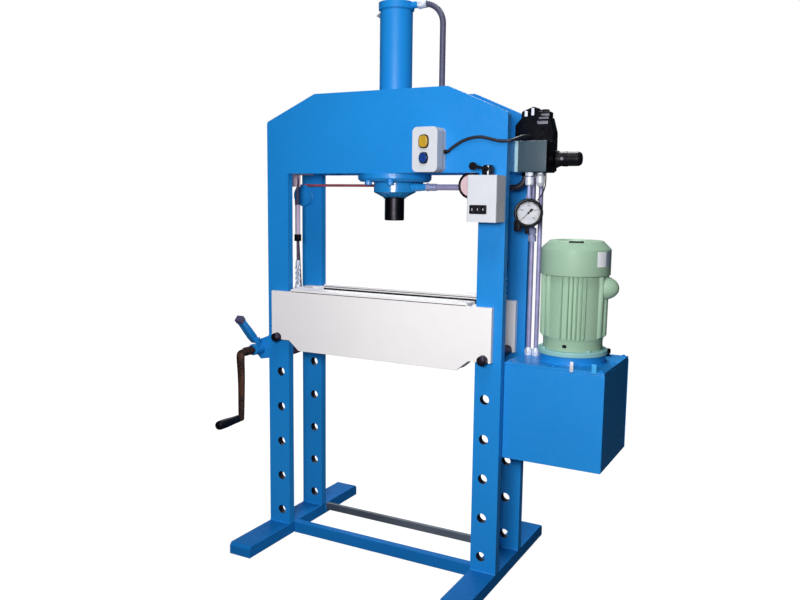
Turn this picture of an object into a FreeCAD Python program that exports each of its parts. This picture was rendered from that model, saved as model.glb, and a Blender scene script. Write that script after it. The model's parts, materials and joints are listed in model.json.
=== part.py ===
import FreeCAD, Part
import math
import operator
import os
import Sketcher

# Two-column hydraulic workshop press with a winch for its table, a tank with an upright motor,
# a valve group and two switch boxes. Millimetres. X runs along the width, Y from front to rear,
# Z up. While it is built, X = 0 and Y = 0 is the ram's axis and Z = 0 the floor; at the end all
# sub-parts move by one common shift, so that the origin is the middle of the base of the whole.

os.makedirs("parts", exist_ok=True)
doc = FreeCAD.newDocument("hydraulic_press")

SIZES = {
    # two frame plates, cut like a portal
    "frame_width": 968, "frame_height": 1706, "leg_width": 95, "plate_thick": 30, "plate_gap": 196,
    "head_bottom": 1420, "shoulder_run": 216, "shoulder_drop": 94, "shoulder_round": 14,
    "hole_radius": 17, "hole_inset": 57, "hole_first": 98, "hole_pitch": 140, "hole_count": 6,
    # feet, tie bars and the bars between the plates of the head
    "foot_length": 754, "foot_height": 44, "foot_bevel": 10,
    "tie_thick": 30, "rear_tie_thick": 16, "rear_tie_height": 28,
    "spacer_side": 40, "spacer_inner": 290, "spacer_lift": 10, "spacer_step": 190,
    # cylinder and ram
    "bore_radius": 50, "tube_wall": 9, "cap_radius": 64, "cap_thick": 24, "cap_spigot": 20,
    "port_radius": 12, "port_reach": 100,
    "bleed_radius": 7, "bleed_reach": 13, "bleed_drop": 11,
    "flange_radius": 135, "flange_thick": 28, "flange_bevel": 10,
    "bolt_radius": 11, "bolt_head": 10, "bolt_spread": 45,
    "gland_radius": 77.5, "gland_height": 37, "nose_height": 19, "nose_radius": 42,
    "guide_height": 48, "gland_port_radius": 18, "gland_port_tip": 11.5,
    "gland_port_reach": 135,
    "rod_radius": 36, "rod_bevel": 3, "ram_reach": 84, "ram_stroke": 450, "stroke_spare": 16,
    "piston_height": 70, "piston_groove": 8, "groove_depth": 4, "piston_rest": 2,
    "running_gap": 0.05, "loose_gap": 0.3, "cutter_margin": 1,
    # hoses and pipes
    "hose_radius": 10.5, "hose_out": 185, "top_bend": 74, "low_bend": 110, "hose_end_height": 1500,
    "ferrule_radius": 14, "ferrule_length": 38,
    "return_bend": 40, "return_turn": 503,
    "valve_side": 36, "valve_centre": 321, "wheel_lift": 12, "wheel_radius": 46,
    "wheel_rim": 4.5, "wheel_stand": 24, "wheel_hub": 12, "bonnet_radius": 9, "stem_radius": 5,
    "wheel_web": 3,
    "pipe_radius": 8, "pipe_rear": 70, "pressure_pipe_at": 509, "tank_pipe_at": 536,
    "nut_radius": 12, "top_nut_radius": 10, "nut_height": 22,
    # valve group on the right-hand end of the head
    "bracket_length": 44, "bracket_bottom": 1423, "bracket_height": 103,
    "connector_length": 103, "connector_flange": 6, "connector_front": 58, "connector_rear": 42,
    "connector_round": 5, "flange_margin": 4,
    "block_thick": 56, "block_right": 579, "block_left": 446, "block_bottom": 1430,
    "block_top": 1616, "block_peak": 1646, "peak_at": 510, "ridge_at": 533, "slope_at": 565,
    "brow_at": 523, "brow_top": 1635, "crown_at": 468, "crown_top": 1630, "neck_at": 466,
    "neck_top": 1606, "shoulder_top": 1586,
    "slope_top": 1610, "slope_bottom": 1560, "plug_sink": 8,
    "plug_width": 44, "plug_depth": 36, "plug_height": 14, "plug_at": 520, "plug_round": 6,
    "solenoid_radius": 24, "solenoid_length": 94, "solenoid_height": 1471, "solenoid_cap": 8,
    # pressure gauge
    "gauge_at": 530, "gauge_front": 60, "gauge_height": 1290, "gauge_radius": 48,
    "gauge_depth": 40, "gauge_wall": 4, "gauge_floor": 30, "gauge_stem": 7, "dial_thick": 2,
    "gauge_turn": 20,
    "needle_length": 34, "needle_tail": 10, "needle_width": 3, "needle_thick": 1.2,
    "needle_hub": 4, "needle_stand": 3, "needle_zero": -135,
    # tank, motor and pump
    "tank_length": 338, "tank_front": 97, "tank_depth": 330, "tank_bottom": 457,
    "tank_height": 325, "tank_wall": 4, "cover_thick": 8, "cover_hole": 20,
    "motor_at": 667, "motor_rear": 67, "motor_base": 118, "motor_base_thick": 16,
    "plinth_radius": 112, "plinth_height": 27,
    "barrel_radius": 100, "barrel_height": 308, "shield_height": 88, "stator_radius": 76,
    "shield_thick": 12, "fin_radius": 114, "fin_thick": 4, "fin_count": 32,
    "shaft_radius": 15, "shaft_below": 90, "shaft_above": 68, "rotor_radius": 74,
    "rotor_low": 100, "rotor_high": 280, "fan_radius": 92, "fan_thick": 5, "blade_height": 26,
    "blade_inset": 2,
    "blade_count": 8, "fan_lift": 340,
    "cowl_wall": 2.5, "cowl_lap": 12, "cowl_height": 114, "cowl_bevel": 28, "cowl_ease": 1,
    "cowl_top": 3,
    "hood_reach": 143, "hood_width": 76, "hood_low": 214, "hood_height": 80, "hood_lip": 12,
    "hood_round": 26,
    "pump_radius": 45, "pump_height": 140, "suction_radius": 12, "strainer_radius": 28,
    "strainer_height": 50, "strainer_clear": 13,
    "filler_at": 752, "filler_rear": 205, "filler_radius": 13, "filler_height": 24,
    "filler_neck": 10, "filler_neck_height": 8,
    # switch boxes on the front plate
    "control_left": 382, "control_width": 102, "control_bottom": 1260, "control_height": 150,
    "control_depth": 83, "control_round": 5, "key_width": 17, "key_height": 21, "key_step": 19,
    "key_first": 403, "key_low": 30, "key_stand": 4, "key_inside": 6, "key_travel": 3,
    "station_left": 172, "station_width": 93, "station_bottom": 1421, "station_height": 148,
    "station_depth": 65, "station_round": 17, "button_across": 43,
    "yellow_width": 31, "yellow_height": 39, "yellow_up": 100, "blue_width": 28,
    "blue_height": 36, "blue_up": 46, "button_stand": 9, "button_inside": 8, "button_travel": 4,
    "button_round": 5,
    "limit_left": 422, "limit_width": 30, "limit_height": 33, "limit_front": 186,
    "limit_depth": 34, "arm_pivot_in": 15, "arm_pivot_up": 20, "arm_reach": 45, "arm_rise": 9,
    "arm_width": 10, "arm_thick": 4, "roller_radius": 13, "roller_length": 10, "arm_shaft": 4,
    "cable_radius": 4, "cable_start": 1489, "cable_end_at": 512, "cable_end": 1545,
    "cable_straight": 8,
    # table: two straddling beams joined by cross pieces
    "web_half": 454, "web_top": 976, "web_bottom": 752, "web_thick": 20, "guide_gap": 1,
    "web_end_bottom": 789, "web_run": 328, "web_slope": 45, "pin_level": 798, "pin_gap": 0.4,
    "top_strip": 10, "strip_half": 364,
    "cross_at": 230, "cross_thick": 30, "cross_height": 100, "cross_low": 48,
    "lift_bar_at": 430, "lift_bar_width": 30, "lift_bar_height": 40,
    "pin_front": 172, "pin_rear": 152, "pin_bevel": 3,
    # winch on the left leg
    "winch_out": 40, "winch_height": 742, "bearing_out": 57, "bearing_below": 44,
    "bearing_above": 53, "bearing_toe": 8, "bearing_heel": 16, "bearing_brow": 16,
    "boss_radius": 22, "boss_length": 50, "winch_shaft": 9,
    "drum_pitch": 54, "drum_rim": 58, "drum_cheek": 5, "drum_front": -10, "drum_rear": 92,
    "hub_radius": 14, "hub_front": 250, "hub_rear": 180, "crank_thick": 16, "crank_length": 253,
    "crank_wide": 17, "crank_narrow": 14, "handle_pin": 8, "handle_end": 386, "grip_radius": 17,
    "grip_waist": 14, "grip_swell": 32, "grip_gap": 5, "lever_thick": 26, "lever_width": 20,
    "lever_length": 122,
    "lever_tilt": 43, "lever_knob": 12.5, "lug_thick": 8, "lug_height": 32, "lug_length": 20,
    "lug_pin": 4, "lever_pivot_up": 38, "lever_pivot_front": 168,
    # ropes and pulleys
    "rope_radius": 5.5, "lift_rope_rear": 0, "cross_rope_rear": 84, "small_pulley": 17,
    "small_pulley_height": 1395, "sheave_pitch": 40,
    "sheave_height": 1340, "left_sheave_at": 466, "right_sheave_at": 364, "pulley_lip": 3,
    "groove_half": 6.2, "pulley_half": 8.5, "small_axle": 6, "big_axle": 8, "cheek_thick": 4,
    "cheek_gap": 0.8, "cheek_half": 22, "cheek_below": 22, "hanger_half": 25,
    "hanger_thick": 15, "hanger_bottom": 1420, "axle_head": 12, "axle_head_thick": 3,
    "socket_top": 1082, "socket_radius": 9, "socket_height": 21, "link_radius": 9,
    "link_wire": 3.5, "link_count": 6, "eye_stem": 6, "sleeve_low": 1187, "sleeve_high": 1303,
    "sleeve_radius": 10, "stop_height": 27, "stop_side": 21, "right_lower": 75,
    "lug_reach": 56, "sheave_lug": 36,
    # common shift of all sub-parts, worked out at the end
    "shift_across": 0, "shift_back": 0,
}

sheet = doc.addObject("Spreadsheet::Sheet", "Sizes")
for row, (alias, number) in enumerate(SIZES.items(), 1):
    sheet.set("A%d" % row, alias)
    sheet.set("B%d" % row, str(number))
    sheet.setAlias("B%d" % row, alias)
doc.recompute()

AXES = {"x": FreeCAD.Vector(1, 0, 0), "y": FreeCAD.Vector(0, 1, 0), "z": FreeCAD.Vector(0, 0, 1)}
TURNS = {"x": FreeCAD.Rotation(AXES["y"], 90), "y": FreeCAD.Rotation(AXES["x"], -90),
         "z": FreeCAD.Rotation()}
PARALLEL = 0.999
BEND_SHARE = 0.45
# the cable's way along the head as (x, z), and round its edge as (x, distance behind the face, z)
CABLE_ON_HEAD = [(291, 1503), (322, 1522), (355, 1533), (391, 1537), (426, 1529), (460, 1520),
                 (496, 1521)]
CABLE_ROUND_EDGE = [(509, 24, 1530), (512, 60, 1538), (512, 110, 1543)]
PLANES = {"x": "YZ_Plane", "y": "XZ_Plane", "z": "XY_Plane"}
SIGNS = {"+": operator.add, "-": operator.sub, "*": operator.mul, "/": operator.truediv}


class Size:
    """A number together with the sheet expression that gives it."""

    def __init__(self, number, text):
        self.number = number
        self.text = text

    def __add__(self, other):
        return combine(self, "+", other)

    def __radd__(self, other):
        return combine(other, "+", self)

    def __sub__(self, other):
        return combine(self, "-", other)

    def __rsub__(self, other):
        return combine(other, "-", self)

    def __mul__(self, other):
        return combine(self, "*", other)

    def __rmul__(self, other):
        return combine(other, "*", self)

    def __truediv__(self, other):
        return combine(self, "/", other)

    def __neg__(self):
        return combine(0, "-", self)


class SheetReader:
    """Reads a cell of the sheet by its alias, as a Size."""

    def __getattr__(self, alias):
        return Size(float(sheet.get(alias)), "Sizes." + alias)


def sized(value):
    """The value as a Size, so that bare numbers and cells mix."""
    if isinstance(value, Size):
        return value
    return Size(float(value), "(%.10g)" % value)


def combine(left, sign, right):
    """Two sizes joined by an arithmetic sign."""
    left = sized(left)
    right = sized(right)
    number = SIGNS[sign](left.number, right.number)
    return Size(number, "(%s %s %s)" % (left.text, sign, right.text))


def tie(thing, prop, value):
    """Set a property to a size and bind it to the sheet."""
    value = sized(value)
    setattr(thing, prop, value.number)
    thing.setExpression(prop, value.text)


s = SheetReader()
spots = {}
nodes = {}


def place(thing, point, turn=FreeCAD.Rotation()):
    """Put an object at a point whose coordinates are sizes."""
    point = [sized(value) for value in point]
    spots[thing.Name] = point
    thing.Placement = FreeCAD.Placement(FreeCAD.Vector(*[value.number for value in point]), turn)
    for letter, value in zip("xyz", point):
        thing.setExpression("Placement.Base." + letter, value.text)
    return thing


def node(name, thing):
    """Name a finished sub-part and let it follow the common shift."""
    thing.Label = name
    across, back, up = spots.get(thing.Name, [sized(0)] * 3)
    thing.setExpression("Placement.Base.x", (across + s.shift_across).text)
    thing.setExpression("Placement.Base.y", (back + s.shift_back).text)
    thing.setExpression("Placement.Base.z", up.text)
    nodes[name] = thing
    return thing


def box(name, low, high):
    """A rectangular block between two corners."""
    block = doc.addObject("Part::Box", name)
    for prop, start, end in zip(("Length", "Width", "Height"), low, high):
        tie(block, prop, sized(end) - start)
    return place(block, low)


def rod(name, axis, start, radius, length):
    """A cylinder along one axis, from its start point."""
    cylinder = doc.addObject("Part::Cylinder", name)
    tie(cylinder, "Radius", radius)
    tie(cylinder, "Height", length)
    return place(cylinder, start, TURNS[axis])


def ring(name, axis, centre, radius, wire):
    """A torus about one axis."""
    torus = doc.addObject("Part::Torus", name)
    tie(torus, "Radius1", radius)
    tie(torus, "Radius2", wire)
    return place(torus, centre, TURNS[axis])


def fuse(name, *things):
    """Several shapes as one solid."""
    joined = doc.addObject("Part::MultiFuse", name)
    joined.Shapes = list(things)
    joined.Refine = True
    return joined


def cut(name, base, *tools):
    """A shape with others taken away."""
    result = doc.addObject("Part::Cut", name)
    result.Base = base
    result.Tool = tools[0] if len(tools) == 1 else fuse(name + "_tools", *tools)
    result.Refine = True
    return result


def group(name, *things):
    """Like solids that share one sub-part."""
    several = doc.addObject("Part::Compound", name)
    several.Links = list(things)
    return several


def hold_point(sketch, shape, corner, point):
    """Fix a point of a sketch at two sizes from the sketch's origin."""
    for kind, axis, value in (("DistanceX", -2, point[0]), ("DistanceY", -1, point[1])):
        value = sized(value)
        if value.number == 0:
            sketch.addConstraint(Sketcher.Constraint("PointOnObject", shape, corner, axis))
        else:
            row = Sketcher.Constraint(kind, -1, 1, shape, corner, value.number)
            sketch.setExpression("Constraints[%d]" % sketch.addConstraint(row), value.text)


def draw(body, name, axis, outline, circles=()):
    """A sketch on the body's plane across one axis: a closed outline and round holes."""
    sketch = body.newObject("Sketcher::SketchObject", name)
    plane = next(item for item in body.Origin.OriginFeatures if item.Role == PLANES[axis])
    sketch.AttachmentSupport = [(plane, "")]
    sketch.MapMode = "FlatFace"
    corners = [FreeCAD.Vector(sized(u).number, sized(v).number, 0) for u, v in outline]
    for here, there in zip(corners, corners[1:] + corners[:1]):
        sketch.addGeometry(Part.LineSegment(here, there), False)
    for index, point in enumerate(outline):
        sketch.addConstraint(Sketcher.Constraint("Coincident", index - 1 if index else len(outline) - 1,
                                                 2, index, 1))
        hold_point(sketch, index, 1, point)
    for u, v, radius in circles:
        centre = FreeCAD.Vector(sized(u).number, sized(v).number, 0)
        index = sketch.addGeometry(Part.Circle(centre, AXES["z"], sized(radius).number), False)
        hold_point(sketch, index, 3, (u, v))
        row = sketch.addConstraint(Sketcher.Constraint("Radius", index, sized(radius).number))
        sketch.setExpression("Constraints[%d]" % row, sized(radius).text)
    return sketch


def pad(body, name, sketch, length, backwards=False):
    """Thicken a sketch."""
    feature = body.newObject("PartDesign::Pad", name)
    feature.Profile = sketch
    tie(feature, "Length", length)
    feature.Reversed = backwards
    return feature


def plate(name, axis, outline, thick, at, circles=()):
    """An outline of given thickness, growing along the positive axis from its place."""
    body = doc.addObject("PartDesign::Body", name)
    sketch = draw(body, name + "_outline", axis, outline, circles)
    pad(body, name + "_pad", sketch, thick, axis == "y")
    return place(body, at)


def turned(name, axis, profile, at):
    """A profile of (radius, height) points turned about one axis."""
    body = doc.addObject("PartDesign::Body", name)
    if axis == "z":
        sketch = draw(body, name + "_profile", "y", profile)
    else:
        swapped = [(along, radius) for radius, along in profile]
        sketch = draw(body, name + "_profile", "x" if axis == "y" else "y", swapped)
    feature = body.newObject("PartDesign::Revolution", name + "_turn")
    feature.Profile = sketch
    feature.ReferenceAxis = (sketch, ["V_Axis" if axis == "z" else "H_Axis"])
    feature.Angle = 360
    return place(body, at)


def edges_along(shape, axis, chosen=lambda edge: True):
    """The names of the straight edges that run along one axis."""
    names = []
    for number, edge in enumerate(shape.Edges, 1):
        straight = isinstance(edge.Curve, Part.Line)
        if straight and abs(edge.Curve.Direction.dot(AXES[axis])) > PARALLEL and chosen(edge):
            names.append("Edge%d" % number)
    return names


def round_edges(body, name, radius, axis, chosen=lambda edge: True):
    """Fillet the body's edges that run along one axis."""
    doc.recompute()
    base = body.Tip
    feature = body.newObject("PartDesign::Fillet", name)
    feature.Base = (base, edges_along(base.Shape, axis, chosen))
    tie(feature, "Radius", radius)
    return feature


def rounded(name, axis, low, high, radius):
    """A block between two corners whose edges along one axis are rounded."""
    spans = [sized(end) - start for start, end in zip(low, high)]
    keep = [span for letter, span in zip("xyz", spans) if letter != axis]
    outline = [(0, 0), (keep[0], 0), (keep[0], keep[1]), (0, keep[1])]
    body = plate(name, axis, outline, spans["xyz".index(axis)], low)
    round_edges(body, name + "_round", radius, axis)
    return body


def numbers(point):
    """A point of sizes as a plain vector."""
    return FreeCAD.Vector(*[sized(value).number for value in point])


def bent_tube(name, points, radius, bends):
    """A round tube along straight runs joined by tangent arcs; one bend radius per inner point."""
    points = [numbers(point) for point in points]
    edges = []
    start = points[0]
    for before, corner, after, bend in zip(points, points[1:], points[2:], bends):
        back = (before - corner).normalize()
        ahead = (after - corner).normalize()
        half = back.getAngle(ahead) / 2
        first = corner + back * (bend / math.tan(half))
        last = corner + ahead * (bend / math.tan(half))
        centre = corner + (back + ahead).normalize() * (bend / math.sin(half))
        middle = centre + (corner - centre).normalize() * bend
        edges.append(Part.LineSegment(start, first).toShape())
        edges.append(Part.Arc(first, middle, last).toShape())
        start = last
    edges.append(Part.LineSegment(start, points[-1]).toShape())
    return sweep(name, edges, radius)


def sweep(name, edges, radius):
    """A round section carried along joined edges, its volume compared with area times length."""
    path = Part.Wire(edges)
    start = path.Edges[0].Curve.value(path.Edges[0].FirstParameter)
    heading = path.Edges[0].tangentAt(path.Edges[0].FirstParameter)
    section = Part.Wire([Part.makeCircle(radius, start, heading)])
    tube = path.makePipeShell([section], True, False)
    expected = math.pi * radius ** 2 * path.Length
    arcs = [round(edge.Curve.Radius, 1) for edge in path.Edges if hasattr(edge.Curve, "Radius")]
    print("%s: length %.0f, radii %s, volume ratio %.4f" % (name, path.Length, arcs,
                                                            tube.Volume / expected))
    feature = doc.addObject("Part::Feature", name)
    feature.Shape = tube
    return feature


def gentle_bends(points):
    """For each inner point the bend radius that its two runs allow."""
    points = [numbers(point) for point in points]
    radii = []
    for before, corner, after in zip(points, points[1:], points[2:]):
        turn = math.pi - (before - corner).getAngle(after - corner)
        shorter = min((before - corner).Length, (after - corner).Length)
        radii.append(BEND_SHARE * shorter / math.tan(turn / 2))
    return radii


# ---- places that several sub-parts share -------------------------------------------------------

half_width = s.frame_width / 2
inner_half = half_width - s.leg_width
plate_inside = s.plate_gap / 2
plate_outside = plate_inside + s.plate_thick
hole_at = half_width - s.hole_inset
tube_radius = s.bore_radius + s.tube_wall
flange_bottom = s.head_bottom - s.flange_thick
gland_bottom = flange_bottom - s.gland_height
nose_bottom = gland_bottom - s.nose_height
gland_top = flange_bottom + s.guide_height
ram_face = nose_bottom - s.ram_reach
piston_bottom = gland_top + s.stroke_spare + s.ram_stroke
tube_top = piston_bottom + s.piston_height + s.piston_rest + s.cap_spigot
port_height = tube_top + s.cap_thick / 2
return_height = flange_bottom - s.gland_height / 2
bracket_top = s.bracket_bottom + s.bracket_height
tank_top = s.tank_bottom + s.tank_height
deck = tank_top + s.cover_thick
winch_at = -(half_width + s.winch_out)
small_pulley_at = winch_at + s.drum_pitch + s.small_pulley


# ---- frame -------------------------------------------------------------------------------------

def frame_plate(name, front):
    """One portal plate with its two rows of pin holes."""
    shoulder = s.frame_height - s.shoulder_drop
    flat = half_width - s.shoulder_run
    outline = [(-half_width, s.foot_height), (-inner_half, s.foot_height),
               (-inner_half, s.head_bottom), (inner_half, s.head_bottom),
               (inner_half, s.foot_height), (half_width, s.foot_height), (half_width, shoulder),
               (flat, s.frame_height), (-flat, s.frame_height), (-half_width, shoulder)]
    body = plate(name, "y", outline, s.plate_thick, (0, front, 0))
    above = (shoulder - s.cutter_margin).number
    round_edges(body, name + "_shoulders", s.shoulder_round, "y",
                lambda edge: edge.CenterOfMass.z > above)
    doc.recompute()
    before = body.Shape.Volume
    sketch = body.newObject("Sketcher::SketchObject", name + "_pin_holes")
    plane = next(item for item in body.Origin.OriginFeatures if item.Role == PLANES["y"])
    sketch.AttachmentSupport = [(plane, "")]
    sketch.MapMode = "FlatFace"
    for side in (-1, 1):
        centre = FreeCAD.Vector(side * hole_at.number, s.hole_first.number, 0)
        index = sketch.addGeometry(Part.Circle(centre, AXES["z"], s.hole_radius.number), False)
        hold_point(sketch, index, 3, (hole_at * side, s.hole_first))
        row = sketch.addConstraint(Sketcher.Constraint("Radius", index, s.hole_radius.number))
        sketch.setExpression("Constraints[%d]" % row, s.hole_radius.text)
    pocket = body.newObject("PartDesign::Pocket", name + "_pocket")
    pocket.Profile = sketch
    pocket.Type = "ThroughAll"
    rows = body.newObject("PartDesign::LinearPattern", name + "_rows")
    rows.Originals = [pocket]
    rows.Direction = (sketch, ["V_Axis"])
    tie(rows, "Length", s.hole_pitch * (s.hole_count - 1))
    rows.Occurrences = int(s.hole_count.number)
    rows.setExpression("Occurrences", s.hole_count.text)
    body.Tip = rows
    doc.recompute()
    holes = 2 * s.hole_count.number * math.pi * s.hole_radius.number ** 2 * s.plate_thick.number
    print("%s: holes cut %.4f of their volume" % (name, (before - body.Shape.Volume) / holes))
    return node(name, body)


def foot(name, left):
    """A flat foot bar under one pair of legs, bevelled at both ends."""
    end = s.foot_length / 2
    outline = [(-end, 0), (end, 0), (end, s.foot_height - s.foot_bevel),
               (end - s.foot_bevel, s.foot_height), (-(end - s.foot_bevel), s.foot_height),
               (-end, s.foot_height - s.foot_bevel)]
    return node(name, plate(name, "x", outline, s.leg_width, (left, 0, 0)))


def head_spacers():
    """Square bars that hold the two plates of the head apart, and the valve group's bar."""
    bars = [box("valve_bar", (half_width - s.bracket_length, -plate_inside, s.bracket_bottom),
                (half_width, plate_inside, bracket_top))]
    low = s.head_bottom + s.spacer_lift
    for left in (s.spacer_inner, -s.spacer_inner - s.spacer_side):
        for bottom in (low, low + s.spacer_step):
            bars.append(box("spacer", (left, -plate_inside, bottom),
                            (left + s.spacer_side, plate_inside, bottom + s.spacer_side)))
    node("head_spacers", group("head_spacer_group", *bars))


frame_plate("front_frame_plate", -plate_outside)
frame_plate("rear_frame_plate", plate_inside)
foot("left_foot", -half_width)
foot("right_foot", inner_half)
node("front_tie_bar", box("front_bar", (-inner_half, -plate_inside, 0),
                          (inner_half, s.tie_thick - plate_inside, s.foot_height)))
node("rear_tie_bar", box("rear_bar", (-inner_half, plate_outside, s.foot_height - s.rear_tie_height),
                         (inner_half, plate_outside + s.rear_tie_thick, s.foot_height)))
head_spacers()


# ---- cylinder and ram --------------------------------------------------------------------------

def cylinder_tube():
    """The tube stands in its flange; the bleed screw sits high on its left."""
    length = tube_top - flange_bottom
    profile = [(s.bore_radius, 0), (tube_radius, 0), (tube_radius, length), (s.bore_radius, length)]
    tube = turned("tube_blank", "z", profile, (0, 0, flange_bottom))
    reach = s.bleed_reach + s.tube_wall / 2
    bleed = rod("bleed", "x", (-tube_radius - s.bleed_reach, 0, tube_top - s.bleed_drop),
                s.bleed_radius, reach)
    node("cylinder_tube", fuse("tube_with_bleed", tube, bleed))


def cylinder_cap():
    """The cap's spigot closes the bore; its side port points right."""
    spigot = s.bore_radius - s.running_gap
    profile = [(0, -s.cap_spigot), (spigot, -s.cap_spigot), (spigot, 0), (s.cap_radius, 0),
               (s.cap_radius, s.cap_thick), (0, s.cap_thick)]
    cap = turned("cap_blank", "z", profile, (0, 0, tube_top))
    start = s.cap_radius - s.cap_thick
    port = rod("cap_port", "x", (start, 0, port_height), s.port_radius,
               s.port_reach - start)
    node("cylinder_cap", fuse("cap_with_port", cap, port))


def cylinder_flange():
    """The flange carries the tube under the head; four bolts hold it to the plates' edges."""
    hole = tube_radius + s.running_gap
    profile = [(hole, 0), (s.flange_radius - s.flange_bevel, 0), (s.flange_radius, s.flange_bevel),
               (s.flange_radius, s.flange_thick), (hole, s.flange_thick)]
    pieces = [turned("flange_blank", "z", profile, (0, 0, flange_bottom))]
    middle = plate_inside + s.plate_thick / 2
    for across in (-s.bolt_spread, s.bolt_spread):
        for back in (-middle, middle):
            pieces.append(rod("bolt", "z", (across, back, flange_bottom - s.bolt_head),
                              s.bolt_radius, s.bolt_head + s.flange_bevel))
    node("cylinder_flange", fuse("flange_with_bolts", *pieces))


def cylinder_gland():
    """The gland guides the rod; its nose tapers and its side port points right."""
    bush = s.rod_radius + s.running_gap
    guide = s.bore_radius - s.running_gap
    shoulder = s.nose_height + s.gland_height
    profile = [(bush, 0), (s.nose_radius, 0), (s.gland_radius, s.nose_height),
               (s.gland_radius, shoulder), (guide, shoulder),
               (guide, shoulder + s.guide_height), (bush, shoulder + s.guide_height)]
    gland = turned("gland_blank", "z", profile, (0, 0, nose_bottom))
    start = (s.rod_radius + s.gland_radius) / 2
    reach = s.gland_port_reach - start
    port = turned("gland_port", "x", [(0, 0), (s.gland_port_radius, 0), (s.gland_port_tip, reach),
                                      (0, reach)], (start, 0, return_height))
    node("cylinder_gland", fuse("gland_with_port", gland, port))


def ram():
    """Rod and piston turned from one bar, with a seal groove round the piston."""
    skirt = s.bore_radius - s.running_gap
    length = piston_bottom - ram_face
    groove = length + (s.piston_height - s.piston_groove) / 2
    top = length + s.piston_height
    profile = [(0, 0), (s.rod_radius - s.rod_bevel, 0), (s.rod_radius, s.rod_bevel),
               (s.rod_radius, length), (skirt, length), (skirt, groove),
               (skirt - s.groove_depth, groove), (skirt - s.groove_depth, groove + s.piston_groove),
               (skirt, groove + s.piston_groove), (skirt, top), (0, top)]
    node("ram", turned("ram_bar", "z", profile, (0, 0, ram_face)))


cylinder_tube()
cylinder_cap()
cylinder_flange()
cylinder_gland()
ram()


# ---- hoses, return valve and pipes -------------------------------------------------------------

def top_hose():
    """From the cap's port out, down beside the tube and between the plates to the bracket."""
    end = half_width - s.bracket_length
    points = [(s.port_reach, 0, port_height), (s.hose_out, 0, port_height),
              (s.hose_out, 0, s.hose_end_height), (end, 0, s.hose_end_height)]
    hose = bent_tube("top_hose_tube", points, s.hose_radius.number,
                     [s.top_bend.number, s.low_bend.number])
    ferrule = rod("hose_ferrule", "x", (end - s.ferrule_length, 0, s.hose_end_height),
                  s.ferrule_radius, s.ferrule_length)
    node("top_hose", fuse("hose_with_ferrule", hose, ferrule))


def return_hose():
    """From the gland to the return valve, and on from the valve up into the valve group."""
    left = s.valve_centre - s.valve_side / 2
    right = s.valve_centre + s.valve_side / 2
    first = rod("return_run", "x", (s.gland_port_reach, 0, return_height), s.hose_radius,
                left - s.gland_port_reach)
    points = [(right, 0, return_height), (s.return_turn, 0, return_height),
              (s.return_turn, 0, s.bracket_bottom)]
    second = bent_tube("return_bend_tube", points, s.hose_radius.number, [s.return_bend.number])
    node("return_hose", group("return_hose_runs", first, second))


def return_valve():
    """A square valve body in the return line, with its stem pointing to the front."""
    half = s.valve_side / 2
    block = box("valve_cube", (s.valve_centre - half, -half, return_height - half),
                (s.valve_centre + half, half, return_height + half))
    bonnet = rod("valve_bonnet", "y", (s.valve_centre, -half - s.wheel_stand / 2,
                                       return_height + s.wheel_lift / 2), s.bonnet_radius,
                 s.wheel_stand / 2 + half / 2)
    node("return_valve", fuse("valve_with_bonnet", block, bonnet))


def valve_handwheel():
    """Rim, web and hub, on a stem that meets the bonnet."""
    height = return_height + s.wheel_lift / 2
    front = -s.valve_side / 2 - s.wheel_stand
    rim = ring("wheel_rim", "y", (s.valve_centre, front, height),
               s.wheel_radius - s.wheel_rim, s.wheel_rim)
    hub = rod("wheel_hub_disc", "y", (s.valve_centre, front - s.wheel_rim, height), s.wheel_hub,
              s.wheel_rim * 2)
    stem = rod("wheel_stem", "y", (s.valve_centre, front, height), s.stem_radius,
               s.wheel_stand / 2 - s.loose_gap)
    web = rod("wheel_web_disc", "y", (s.valve_centre, front - s.wheel_web / 2, height),
              s.wheel_radius - s.wheel_rim, s.wheel_web)
    node("valve_handwheel", fuse("handwheel", rim, hub, stem, web))


def tank_pipe(name, at):
    """A straight pipe from the valve block down to the tank's cover, with a nut at each end."""
    pipe = rod(name + "_run", "z", (at, s.pipe_rear, deck), s.pipe_radius, s.block_bottom - deck)
    low = rod(name + "_low_nut", "z", (at, s.pipe_rear, deck), s.nut_radius, s.nut_height)
    high = rod(name + "_high_nut", "z", (at, s.pipe_rear, s.block_bottom - s.nut_height),
               s.top_nut_radius, s.nut_height)
    node(name, fuse(name + "_nuts", pipe, low, high))


top_hose()
return_hose()
return_valve()
valve_handwheel()
tank_pipe("pressure_pipe", s.pressure_pipe_at)
tank_pipe("tank_return_pipe", s.tank_pipe_at)


# ---- valve group -------------------------------------------------------------------------------

def valve_connector():
    """The slate box with its thin flange against the head."""
    flange = box("connector_plate", (half_width, -s.connector_front, s.bracket_bottom),
                 (half_width + s.connector_flange, s.connector_rear, bracket_top))
    case = rounded("connector_case", "x",
                   (half_width + s.connector_flange, s.flange_margin - s.connector_front,
                    s.bracket_bottom),
                   (half_width + s.connector_length, s.connector_rear, bracket_top),
                   s.connector_round)
    node("valve_connector", fuse("connector_box", flange, case))


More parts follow.
